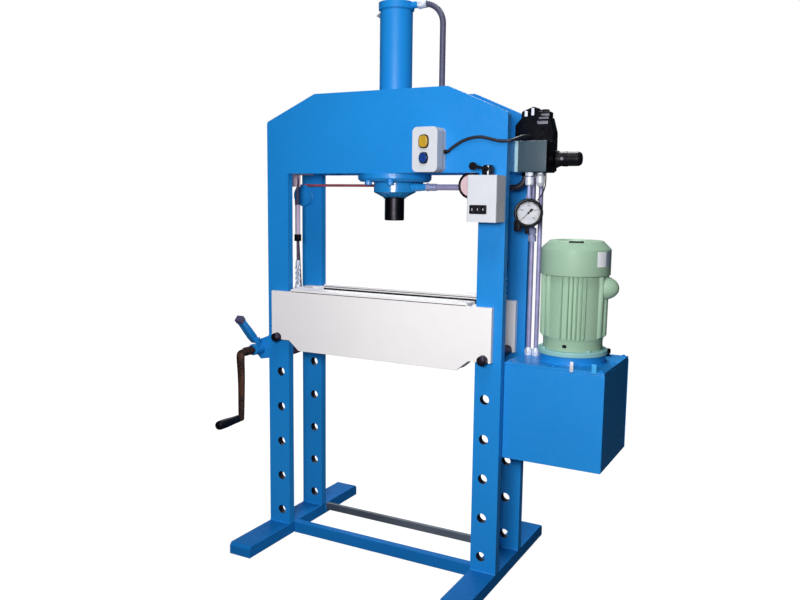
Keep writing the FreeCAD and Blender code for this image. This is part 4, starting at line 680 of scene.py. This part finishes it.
# the case's faces turned to +X take black enamel: painted shade on the side away from the lamps
secondLook(case, blackEnamel, lambda face: face.normal.x > 0.6)
body = [prism(softLine(valve["outline"], 4, closed=True), valve["front"], valve["rear"], "y"),
        turned([(0, 0), (30, 0), (30, 5), (26, 8), (0, 8)], (516, 34, 1560), "y", soft=1),
        block((484, 44, 1540), (577, 103, 1552), 2, 1), rod((545, 71, 1611), "z", 0, 10, 20, 40, 1)]
makePiece("valveBody", body, blackEnamel, stands="valve_block", bevel=1.6)
plug = [block((520, 53, 1608), (564, 89, 1630), 6, 2, "y"), hexHead((542, 71, 1628), "z", 24, 9)]
makePiece("valvePlug", plug, blackPlastic)
faces = [block((529, 40.6, 1603), (563, 42.6, 1610), 2, 0.8, "y"),
         block((523, 40.6, 1586), (561, 42.6, 1597), 2, 0.8, "y"),
         block((532, 51, 1614), (561, 53.5, 1622), 2, 0.8, "y")]
makePiece("valvePlateFaces", faces, dullScrew)
studs = [block((478, 40, 1613), (489, 42.6, 1632), 1.5, 1, "y"),
         block((502, 40, 1616), (512, 42.6, 1641), 1.5, 1, "y"),
         block((507, 40.6, 1548), (510.5, 42.6, 1588), 0.8, 0.5, "y")]
makePiece("valveStuds", studs, zincFitting)
coil = [turned([(0, 0), (33, 0), (31, 6), (25, 20), (24, 24), (24, 84), (20, 92), (15, 94), (0, 94)],
               valve["coil"], "x", soft=2),
        turned([(23.8, 30), (25.2, 31), (25.2, 46), (23.8, 47)], valve["coil"], "x", loop=True)]
makePiece("solenoidCoil", coil, blackPlastic, stands="solenoid")
makePiece("solenoidScrew", [hexHead((612, 46.5, 1471), "y", 11, -3)], dullScrew)
bulb = [(0, 1423), (8, 1423), (9, 1417), (14, 1410), (14, 1390), (9, 1378), (0, 1376)]
makePiece("portBulb", [turned(bulb, valve["bulb"], steps=40, soft=2)], zincFitting)
drop = cutCorners([(585, -34, 1424), (586, -34, 1400), (584, -35, 1372), (572, -36, 1345), (560, -33, 1332)])
makePiece("sensorLead", [tube(drop, 2.2, 10)], blackPlastic)
print("valve group done")


# pressure gauge

gauge = {"spot": (530, -35, 1290), "turn": 20, "reach": 35, "zero": -135, "span": 270, "marks": 40,
         "numbers": ("0", "100", "200", "300", "400"), "numberRadius": 23.5, "numberHigh": 7}
gaugeTurn = turnBy(gauge["turn"], "Z").to_3x3()


def onGauge(part):
    # points of a shell about the gauge's own middle, turned with it and put in its place
    return (part[0] @ np.array(gaugeTurn).T + np.array(gauge["spot"]),) + part[1:]


case = turned([(0, 15), (38, 15), (48, 8), (48, -21), (46.4, -25), (41, -25.4), (37.6, -23.2), (37.6, -20.6),
               (44, -19), (44, -15.4), (0, -15.4)], (0, 0, 0), "y", 96, 1.2)
makePiece("gaugeCase", [onGauge(case)], blackEnamel, stands="gauge_case", sharp=45)
stemAxis = (530, -35, 0)
stem = [rod(stemAxis, "z", 1334, 1423, 7, 28), hexHead((530, -35, 1336), "z", 19, 12)]
makePiece("gaugeStem", stem, lilacFitting, stands="gauge_case")
union = [turned([(0, 1381), (12, 1381), (13.5, 1384), (13.5, 1408), (0, 1409)], stemAxis, steps=40, soft=1),
         hexHead((530, -35, 1423), "z", 25, -12)]
makePiece("gaugeUnion", union, zincFitting)
clamp = [block((474, -24, 1226), (497, 6, 1266), 8, 4, "y"), block((520, -42, 1220), (531, -26, 1246), 2, 1),
         tube(cutCorners([(490, -16, 1262), (492, -18, 1276), (500, -26, 1290)]), 5, 12)]
makePiece("gaugeClamp", clamp, blackPlastic)
marks = []
for number in range(gauge["marks"] + 1):
    angle = math.radians(gauge["zero"] + gauge["span"] * number / gauge["marks"])
    long = 7 if number % 10 == 0 else 5 if number % 5 == 0 else 3
    wide = 0.9 if number % 5 == 0 else 0.45
    outwards = np.array([math.sin(angle), math.cos(angle)])
    side = np.array([outwards[1], -outwards[0]]) * wide / 2
    outer, inner = outwards * gauge["reach"], outwards * (gauge["reach"] - long)
    marks.append(prism([outer + side, outer - side, inner - side, inner + side], -17.4, -17.0, "y"))
marks.append(tube(circle((0, -17.2, 0), "y", 35.4, 80, -45, 225), 0.35, 6))
makePiece("gaugeMarks", [onGauge(mark) for mark in marks], blackPlastic)
needleLine = softLine([(-1.5, -3), (-4.5, -11), (-4, -19), (4, -19), (4.5, -11), (1.5, -3), (1.3, 0),
                       (0.35, 33), (-0.35, 33), (-1.3, 0)], 3, closed=True)
turn = math.radians(gauge["zero"])
needleShape = needleLine @ np.array([[math.cos(turn), -math.sin(turn)], [math.sin(turn), math.cos(turn)]])
hand = [prism(needleShape, -19.8, -18.9, "y"),
        turned([(0, -20.4), (3.4, -20.4), (4, -19.8), (4, -17.4), (0, -17.4)], (0, 0, 0), "y", 28, 0.4)]
makePiece("gaugeHand", [onGauge(part) for part in hand], blackPlastic, "needle", "gauge_needle")
makePiece("gaugeGlass", [onGauge(rod((0, 0, 0), "y", -22.4, -21.2, 37.5, 64))], gaugeGlass)
for count, text in enumerate(gauge["numbers"]):
    # text made a mesh and set upright in front of the dial's face
    curve = bpy.data.curves.new("dialNumber" + text, "FONT")
    curve.body, curve.size = text, gauge["numberHigh"] / 1000
    curve.align_x = curve.align_y = "CENTER"
    holder = bpy.data.objects.new("dialNumber" + text, curve)
    mesh = bpy.data.meshes.new_from_object(holder)
    bpy.data.objects.remove(holder)
    angle = math.radians(gauge["zero"] + gauge["span"] * count / (len(gauge["numbers"]) - 1))
    spot = np.array([gauge["numberRadius"] * math.sin(angle), -17.3, gauge["numberRadius"] * math.cos(angle)])
    place = (spot @ np.array(gaugeTurn).T + np.array(gauge["spot"]) + pressShift) / 1000
    mesh.transform(Matrix.Translation(Vector(place.tolist())) @ gaugeTurn.to_4x4() @ turnBy(90, "X"))
    finishMesh("dialNumber" + text, mesh, blackPlastic, "frame", sharp=40)
dress("gauge_dial", dialWhite)
print("gauge done")


# tank and filler cap

tank = {"left": 484, "right": 822, "front": -97, "rear": 233, "low": 459, "top": 781, "cover": 790,
        "filler": (752, 205, 790.3), "screws": ((498, -84), (650, -84), (808, -84), (808, 67), (808, 220),
                                                (650, 220), (498, 220))}
softened("tank", tankEnamel, 2.0)
softened("tank_cover", tankEnamel, 1.2)
beads = [bead([(across, back, tank["low"]), (across, back, tank["top"])], size)
         for across, back, size in ((tank["right"], tank["front"], 1.5), (tank["right"], tank["rear"], 1.5),
                                    (tank["left"], 98, 2.4), (tank["left"], 128.5, 2.4))]
makePiece("tankWelds", beads, tankEnamel)
screws = [hexHead((across, back, tank["cover"]), "z", 11, 5) for across, back in tank["screws"]]
makePiece("coverScrews", screws, tankEnamel)
latch = [block((709, -101, 782), (721, -97, 816), 2, 1, "y"), block((709, -99, 790), (721, -88, 794), 1.5, 1)]
makePiece("coverLatch", latch, zincFitting)
# the cover lug in the lighter blue, painted light
makePiece("coverLug", [block((780, -100, 784), (796, -95, 815), 2, 1, "y")], tabLitEnamel)
capAngle = wholeTurn(96)
capHeight = np.array([0.0, 0.0, 7.5, 8.5, 21, 23.7, 24, 24])[:, None]
capRadius = np.array([0.0, 10, 10, 13, 13, 11.7, 9.5, 0.0])[:, None]
knurl = 1 + 0.035 * np.cos(capAngle * 24) * ((capHeight > 8) & (capHeight < 22))
cap = shell(spread("z", capRadius * knurl * np.cos(capAngle), capRadius * knurl * np.sin(capAngle), capHeight)
            + np.array(tank["filler"]))
makePiece("fillerCap", [cap], blackPlastic, "filler", "filler_cap")


# motor

motor = {"spot": (667, 67, 0), "base": 790, "facing": -73.9, "fins": (-22.6, -11, -3.3, 4.4, 12.2, 19),
         "sideFins": (-20, -10, 0, 10, 20), "corners": (55, 125, -55, -125), "finHigh": 10, "cornerHigh": 11,
         "bolts": 109, "hood": (0, 67, 1044), "cowlLow": 1086, "plateRadius": 117.6,
         "plateHeights": (1117.0, 1167.0)}
finTurn = np.radians(np.linspace(0, 360, 1440, endpoint=False))
finSpots = [quarter + spot for quarter in (0, 180) for spot in motor["fins"]]
finSpots += [quarter + spot for quarter in (90, 270) for spot in motor["sideFins"]]


def ridge(spots, half):
    # a smooth ridge of unit height at each spot: cosine squared within its half width, in degrees
    away = np.degrees(finTurn)[:, None] - motor["facing"] - np.array(spots)[None]
    away = np.abs((away + 180) % 360 - 180) / half
    return np.where(away < 1, np.cos(away * math.pi / 2) ** 0.7, 0).max(1)


def onMotor(radius, angle, height):
    # a point at an angle round the motor's axis, or an array of points
    radius, angle, height = np.broadcast_arrays(radius, angle, height)
    return np.stack([radius * np.cos(angle), radius * np.sin(angle), height], -1) + np.array(motor["spot"])


barrelHeight = np.array([42, 42, 74, 80, 84, 88, 92, 290, 298, 304, 308, 308.0])[:, None]
barrelRadius = np.array([0, 100, 100, 101.5, 103, 103, 103, 103, 103, 103, 101, 0])[:, None]
finShare = np.interp(barrelHeight, [84, 93, 290, 305], [0, 1, 1, 0])
ribs = np.maximum(ridge(finSpots, 1.5) * motor["finHigh"], ridge(motor["corners"], 5.0) * motor["cornerHigh"])
barrel = shell(onMotor(barrelRadius + finShare * ribs, finTurn, motor["base"] + barrelHeight))
makePiece("motorBarrel", [barrel], motorEnamel, stands="motor_body", sharp=50)
flange = turned([(0, 817), (117, 817), (118, 818), (118, 831), (116, 833.5), (104, 834), (0, 834)],
                motor["spot"], steps=96, soft=0.8)
makePiece("motorFlange", [flange], flangeEnamel, stands="motor_body")
# a black patch on the motor's front near its foot: painted shade of a drain notch
makePiece("drainNotchShade", [block((662, -35.5, 846), (676, -30, 856), 2, 1, "y")], blackPlastic)
bolts = [hexHead(onMotor(motor["bolts"], a, 833), "z", 13, 7) for a in np.radians([45, 135, 225, 315])]
makePiece("motorFlangeBolts", bolts, flangeEnamel)
hoodSide, hoodUp = oval(2 / 2.2)
domeTurn = np.linspace(0, math.pi / 2, 13)[:, None]
hoodShare = np.concatenate([[[0.0], [1.0]], np.cos(domeTurn)])
hoodReach = np.concatenate([[[750.0], [750.0]], 757 + 60 * np.sin(domeTurn)])
dome = spread("x", 38 * hoodShare * hoodSide, 41 * hoodShare * hoodUp, hoodReach)
brim = spread("x", 40 * hoodSide, 43 * hoodUp, np.array([[752.0], [758.0]]))
hood = [shell(points + np.array(motor["hood"])) for points in (dome, brim)]
makePiece("terminalHood", hood, motorEnamel, stands="motor_body", sharp=50)
cowl = turned([(114.5, 0), (116.8, 0), (116.8, 86), (89, 114), (64, 114.6), (64, 112), (88, 111.5),
               (114.5, 85)], (667, 67, motor["cowlLow"]), steps=120, soft=4, loop=True)
makePiece("motorCowl", [cowl], motorEnamel, stands="motor_cowl", sharp=50)
guard = [tube(circle((667, 67, 1198.5), "z", radius)[:-1], 1.5, 8, (0, 0, 1), loop=True)
         for radius in (12, 22, 32, 42, 52, 61)]
guard += [tube(onMotor(np.array([10, 64]), math.radians(angle), 1196.5), 1.6, 8, (0, 0, 1))
          for angle in range(0, 360, 60)]
guard.append(rod((667, 67, 1197), "z", 0, 2, 12, soft=0.5))
makePiece("fanGuard", guard, motorEnamel)
# a black strip on the cowl's shoulder facing the front: painted shade of a slot opening, the cowl itself is
# not cut
shadeTurn = np.radians(motor["facing"] + np.linspace(-15, 15, 24))[:, None]
shadeRadius, shadeHeight = np.array([(94.2, 1196.0), (89.2, 1201.0), (88.2, 1200.0), (93.2, 1195.0)]).T
makePiece("cowlSlotShade", [shell(onMotor(shadeRadius, shadeTurn, shadeHeight))], blackPlastic)
dress("motor_rotor", blackEnamel)
dress("pump", darkSteel)
for name, first, last, look in (("motorPlate", -37, -18, plateWhite), ("motorPlateShadedSide", -18, -1, plateShadeBlue)):
    # a thin plate bent round the cowl; its part turned further from the front is grey-blue, painted shade
    turn = np.radians(np.linspace(first, last, 20))[:, None]
    low, high = motor["plateHeights"]
    radius = motor["plateRadius"] + np.array([0, 0, -1.2, -1.2])
    makePiece(name, [shell(onMotor(radius, turn, np.array([low, high, high, low])))], look, bevel=0.3)
print("tank and motor done")


# switch boxes, buttons and cable

keys = {"left_key": 403, "middle_key": 422, "right_key": 441}
softened("control_box", boxGrey, 1.6, joined=False)
makePiece("keyBezel", [block((392, -212.4, 1286), (452, -210.6, 1315), 3, 0.8, "y")], blackPlastic)
for node, across in keys.items():
    key = block((across - 8.5, -215, 1290), (across + 8.5, -205.4, 1311), 1.5, 1.2, "y")
    makePiece(node + "_cap", [key], blackPlastic, bodyOf[node], node)
for node, across in keys.items():
    mark = block((across - 1, -215.4, 1297), (across + 1, -214.9, 1304), 0.5, 0.2, "y")
    makePiece(node + "_mark", [mark], zincFitting, bodyOf[node])
softened("pushbutton_box", boxGrey, 3.0, joined=False)
seam = block((171.6, -151, 1420.6), (265.4, -149.8, 1569.4), 17.3, 0.2, "y")
makePiece("buttonBoxSeam", [seam], blackPlastic)

buttons = {
    "yellow": {"body": "button_yellow", "look": yellowPlastic, "power": 0.7, "low": (199.5, 1501.5),
               "high": (230.5, 1540.5)},
    "blue": {"body": "button_blue", "look": bluePlastic, "power": 0.95, "low": (201, 1451),
             "high": (229, 1483)}}


def ovalRows(button, rows):
    # rows of the button's outline: a share of its size, a distance outwards and one along
    side, up = oval(button["power"])
    low, high = np.array(button["low"]), np.array(button["high"])
    half, middle = (high - low) / 2, (high + low) / 2
    return np.stack([spread("y", middle[0] + (half[0] * share + out) * side,
                            middle[1] + (half[1] * share + out) * up, along) for share, out, along in rows])


rimRows = [(1, 0.4, -193.2), (1, 0.4, -197), (1, 2.8, -197), (1, 3.2, -196), (1, 3.2, -193.2)]
capRows = [(0, 0, -185), (1, 0, -185), (1, 0, -200), (0.95, 0, -201.5), (0.86, 0, -202), (0.6, 0, -201.2),
           (0.3, 0, -200.7), (0, 0, -200.5)]
for name, button in buttons.items():
    makePiece(name + "Rim", [shell(ovalRows(button, rimRows), loop=True)], blackPlastic)
for name, button in buttons.items():
    makePiece(name + "Cap", [shell(ovalRows(button, capRows))], button["look"], button["body"],
              name + "_button", sharp=60)
gland = [hexHead((265, -139, 1489), "x", 13, 7), turned([(0, 0), (5.5, 0), (4.2, 8), (0, 8)],
                                                        (272, -134.5, 1489.8), "x", 24)]
makePiece("cableGland", gland, blackPlastic)
switch = {"pivot": (437, 0, 1430), "roller": (392, 0, 1439)}
box = [block((422, -186, 1410), (452, -152, 1436), 2, 1.2),
       rod(switch["pivot"], "y", -187.5, -184, 9, 32, 0.6), block((425, -183, 1436), (449, -155, 1443), 3, 2)]
makePiece("limitSwitchBody", box, blackPlastic, stands="limit_switch")
band = block((440.5, -186.6, 1411), (445.5, -185.8, 1441), 0.8, 0.3, "y")
makePiece("limitSwitchBand", [band], zincFitting)
arm = softLine([(5, -5), (5, 5), (-45, 14), (-49, 9), (-45, 4)], 3, closed=True)
lever = [prism(arm + np.array([437, 1430]), -194.3, -190.3, "y"),
         rod(switch["pivot"], "y", -195.2, -186.5, 3.8, 24, 0.3)]
makePiece("limitLever", lever, blackPlastic, "switch_arm", "switch_lever", bevel=0.4)
roller = [(2.5, -194.6), (12, -194.6), (13, -193.4), (13, -185.6), (12, -184.4), (2.5, -184.4)]
makePiece("limitRoller", [turned(roller, switch["roller"], "y", 40, loop=True)], blackPlastic, "switch_arm",
          "switch_lever")
softened("button_cable", cableCover, 0, 50, False, 0.0013)
print("switch boxes done")


# table and pins

table = {"reach": 364, "webLow": 902, "webTop": 971.5, "shadowLines": (-149, -77, 77, 149), "pinHeight": 798,
         "pins": 427}
softened("front_table_beam", whiteEnamel, 1.3)
softened("rear_table_beam", whiteEnamel, 1.3)
# near-black bands on the beams' inner faces just under the top strips: painted shade under the overhang
bands = [block((-table["reach"], low, table["webLow"]), (table["reach"], low + 1.4, table["webTop"]),
               0.5, 0.3, "y") for low in (75.9, -77.3)]
makePiece("underStripShadeBands", bands, underStripShade, "table")
softened("table_spacers", whiteEnamel, 1.2)
# black lines along the foot of each top strip's edges: painted shadow of the gap under the strips
shadowLines = [block((-362, back - 0.5, 976.2), (362, back + 0.5, 978.6), 0.4, 0.3, "x") for back in table["shadowLines"]]
makePiece("stripShadowLines", shadowLines, blackEnamel, "table")
beads = [bead([(across, back, 802), (across, back, 898)], 2.2)
         for across in (230, 260, -230, -260) for back in (-77, 77)]
makePiece("tableWelds", beads, whiteEnamel, "table")
pin = [(0, -172), (9, -172), (9.6, -170.5), (13, -170.5), (16.6, -167), (16.6, 149), (13.6, 152), (0, 152)]
for side, across in (("left", -table["pins"]), ("right", table["pins"])):
    bar = turned(pin, (across, 0, table["pinHeight"]), "y", soft=0.8)
    makePiece(side + "_table_pin_bar", [bar], pinSteel, side + "_pin", side + "_table_pin")
print("table done")


# winch

winch = {"axis": (-524, 0, 742), "grip": (-524, 0, 489), "pitch": 54, "wire": 5.3, "turns": 3,
         "lever": (-168, 780), "tilt": 43}
softened("winch_bearings", blueEnamel, 2.0)
drum = [(0, -250), (8, -250), (9, -249), (9, -15), (57, -15), (58, -14), (58, -11), (56.5, -10), (48.2, -10),
        (48.2, 92), (56.5, 92), (58, 93), (58, 96), (57, 97), (9, 97), (9, 128), (0, 128)]
makePiece("winchDrum", [turned(drum, winch["axis"], "y", 72)], darkSteel, "winch_shaft", "winch_drum")
for name, first, last, look in (("liftTurns", 0, 34.5, liftWire), ("crossTurns", 84, 49.5, ropeWire)):
    # a helix on the drum: the angle grows evenly while the rope moves along the axle
    share = np.linspace(0, 1, winch["turns"] * 48 + 1)
    angle = share * winch["turns"] * 2 * math.pi
    path = spread("y", winch["pitch"] * np.cos(angle), winch["pitch"] * np.sin(angle),
                  first + (last - first) * share)
    makePiece(name, [tube(path + np.array(winch["axis"]), winch["wire"], 10)], look, "winch_shaft")
armPath = cutCorners([(-524, -180, 742), (-524, -224, 742), (-524, -251, 740), (-522, -254, 714),
                      (-521, -252, 660), (-521, -252, 600), (-522, -254, 500), (-522, -254, 487)], 4)
armShare = np.linspace(0, 1, len(armPath))
armRadius = np.interp(armShare, [0, 0.3, 0.45, 1], [15, 17.5, 16.8, 11])
eye = [(0, -267), (13, -267), (13.5, -265), (13.5, -251), (13, -249), (0, -249)]
crank = [tube(armPath, armRadius, 24, (1, 0, 0), (0.72, 1.0)),
         sleeve(winch["axis"], "y", -186, -226, 9.1, 16.5, 48, 1.5), turned(eye, winch["grip"], "y", 40, 1)]
makePiece("crankArm", crank, rustyForging, "winch_shaft", "crank", sharp=60)
handlePin = turned([(0, -386), (6.5, -386), (8, -384), (8, -266), (0, -266)], winch["grip"], "y", 24)
makePiece("crankPin", [handlePin], darkSteel, "winch_shaft", "crank")
grip = turned([(8.1, -385.5), (14, -385.5), (17, -378), (17.4, -362), (17, -335), (15, -300), (14, -282),
               (14.5, -273), (12.5, -271.2), (8.1, -271.2)], winch["grip"], "y", 48, 5, True)
makePiece("gripSleeve", [grip], blackPlastic, "handle", "crank_grip", sharp=60)


def alongLever(outline, soft):
    # an outline about the lever's pivot, leant back with it
    tilt = math.radians(winch["tilt"])
    lean = np.array([[math.cos(tilt), math.sin(tilt)], [-math.sin(tilt), math.cos(tilt)]])
    return softLine(outline, soft, closed=True) @ lean + np.array(winch["lever"])


lever = alongLever([(-10, -10), (10, -10), (13, 20), (12.5, 60), (10.5, 100), (12.5, 116), (11, 128),
                    (-11, 128), (-12.5, 116), (-10.5, 100), (-12.5, 60), (-13, 20)], 5)
makePiece("pawlLever", [prism(lever, -537, -511, "x")], blueEnamel, "pawl", "pawl_lever", bevel=1.2)
knob = alongLever([(-13, 112), (13, 112), (13, 133), (-13, 133)], 3)
makePiece("pawlKnob", [prism(knob, -538, -510, "x")], knobEnamel, "pawl", bevel=1.0)
print("winch done")


# pulleys, ropes and their ends

ropes = {"radius": 5.5, "lay": 60, "wires": 6, "sheave": 40, "pulley": 17, "socket": 1084, "links": 7,
         "linkRadius": 9, "linkWire": 3.4, "linkPitch": 10.7}
pulleySpot, drumSpot = (-453, 0, 1395), (-524, 84, 742)
leftSpot, rightSpot = (-466, 84, 1340), (364, 84, 1340)


def sheave(name, node, centre, pitch, hole, look):
    # a grooved wheel with a dished web: the groove's floor is a half circle for the rope
    groove = np.linspace(0, math.pi, 9)[1:-1]
    line = [(hole, -8.5), (hole + 6, -8.5), (hole + 7, -6), (pitch - 9.5, -5), (pitch - 8.5, -8.5),
            (pitch + 3, -8.5), (pitch + 3, -6.4)]
    line += [(pitch + 0.4 - 5.9 * math.sin(a), -5.9 * math.cos(a)) for a in groove]
    line += [(pitch + 3, 6.4), (pitch + 3, 8.5), (pitch - 8.5, 8.5), (pitch - 9.5, 5), (hole + 7, 6),
             (hole + 6, 8.5), (hole, 8.5)]
    makePiece(name, [turned(line, centre, "y", 72, 0.5, True)], look, bodyOf[node], node)


sheave("leftSheaveDisc", "left_sheave", leftSpot, ropes["sheave"], 8.1, blueEnamel)
sheave("rightSheaveDisc", "right_sheave", rightSpot, ropes["sheave"], 8.1, blueEnamel)
sheave("smallPulleyDisc", "small_pulley", pulleySpot, ropes["pulley"], 6.1, darkSteel)
mounts = softened("pulley_mounts", hangerZinc, 0.8)
secondLook(mounts, blueEnamel, lambda face: face.center.y * 1000 - pressShift[1] > 40)


def strands(name, path, look, node):
    # six wires round a path and one inside, each centre turning once in a length of lay
    path = evenPath(path, 3.2)
    length = np.arange(len(path)) * 3.2
    side, up = crossways(path)
    wires = []
    for strand in range(ropes["wires"]):
        angle = (length / ropes["lay"] * 2 * math.pi + strand * math.pi / 3)[:, None]
        wires.append(tube(path + 3.55 * (side * np.cos(angle) + up * np.sin(angle)), 1.9, 7))
    wires.append(tube(path, 2.4, 7))
    makePiece(name, wires, look, stands=node, sharp=80)


# each rope leaves the drum and runs over its pulleys, with angles counted from the right upwards
liftPath = [[(-470, 0, 742)], circle(pulleySpot, "y", ropes["pulley"], 24, 180, 0)]
strands("liftRopeStrands", np.concatenate(liftPath), liftWire, "lift_rope")
rise, run = leftSpot[2] - drumSpot[2], leftSpot[0] - drumSpot[0]
between = math.acos((winch["pitch"] + ropes["sheave"]) / math.hypot(run, rise))
leave = math.degrees(math.atan2(rise, run) - between)
crossPath = [circle(drumSpot, "y", winch["pitch"], 1, leave, leave)[:1],
             circle(leftSpot, "y", ropes["sheave"], 24, leave + 180, 90),
             circle(rightSpot, "y", ropes["sheave"], 24, 90, 0)]
strands("crossRopeStrands", np.concatenate(crossPath), ropeWire, "cross_rope")


def hangingRope(node, across, back, top, colour):
    # the frame holds its top and the table its foot, so the real rope shortens as the table rises; this piece
    # is a fixed straight tube on no body
    look = laidRope(node + "Lay", colour, (across + pressShift[0]) / 1000, (back + pressShift[1]) / 1000)
    path = [(across, back, height) for height in np.linspace(ropes["socket"], top, 48)]
    run = tube(path, ropes["radius"], 20)
    rope = makePiece(node + "Rope", [run], look, None, node, sharp=60)
    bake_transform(rope)


def ropeEnd(name, across, back, sleeveLow):
    # sleeve, stop, swaged socket, chain and table eye, from the top down
    guard = sleeve((across, back, sleeveLow), "z", 0, 116, 5.9, 10, 32, 0.8)
    makePiece(name + "Sleeve", [guard], lilacSleeve, "table", "rope_ends")
    stop = block((across - 10.5, back - 10.5, sleeveLow - 27), (across + 10.5, back + 10.5, sleeveLow), 2,
                 1.2)
    makePiece(name + "Stop", [stop], blackPlastic, "table", "rope_ends")
    axis = (across, back, 0)
    socket = [(0, 1061), (9, 1061), (9.4, 1064), (9.2, 1078), (7, 1084), (0, 1084)]
    chain = [turned(socket, axis, steps=36, soft=0.8)]
    top = 1061 + 1.75 - ropes["linkRadius"]
    for link in range(ropes["links"]):
        facing = "yx"[link % 2]
        ring = circle((across, back, top - ropes["linkPitch"] * link), facing, ropes["linkRadius"], 36)[:-1]
        chain.append(tube(ring, ropes["linkWire"], 10, (0, 1, 0) if facing == "y" else (1, 0, 0), loop=True))
    foot = top - ropes["linkPitch"] * (ropes["links"] - 1) - ropes["linkRadius"]
    stand = [(0, 976), (13, 976), (13, 979), (8, 980), (6, 982), (6, foot + 1), (0, foot + 1)]
    chain.append(turned(stand, axis, steps=36, soft=0.6))
    chain.append(hexHead((across, back, 979), "z", 19, 6))
    makePiece(name + "Chain", chain, zincFitting, "table", "rope_ends", sharp=50)


hangingRope("left_fall", -436, 0, 1395, (0.25, 0.19, 0.30))
hangingRope("right_fall", 404, 84, 1340, (0.27, 0.1, 0.13))
ropeEnd("leftEnd", -436, 0, 1187)
ropeEnd("rightEnd", 404, 84, 1112)
print("pulleys and ropes done")

print("all pieces made")
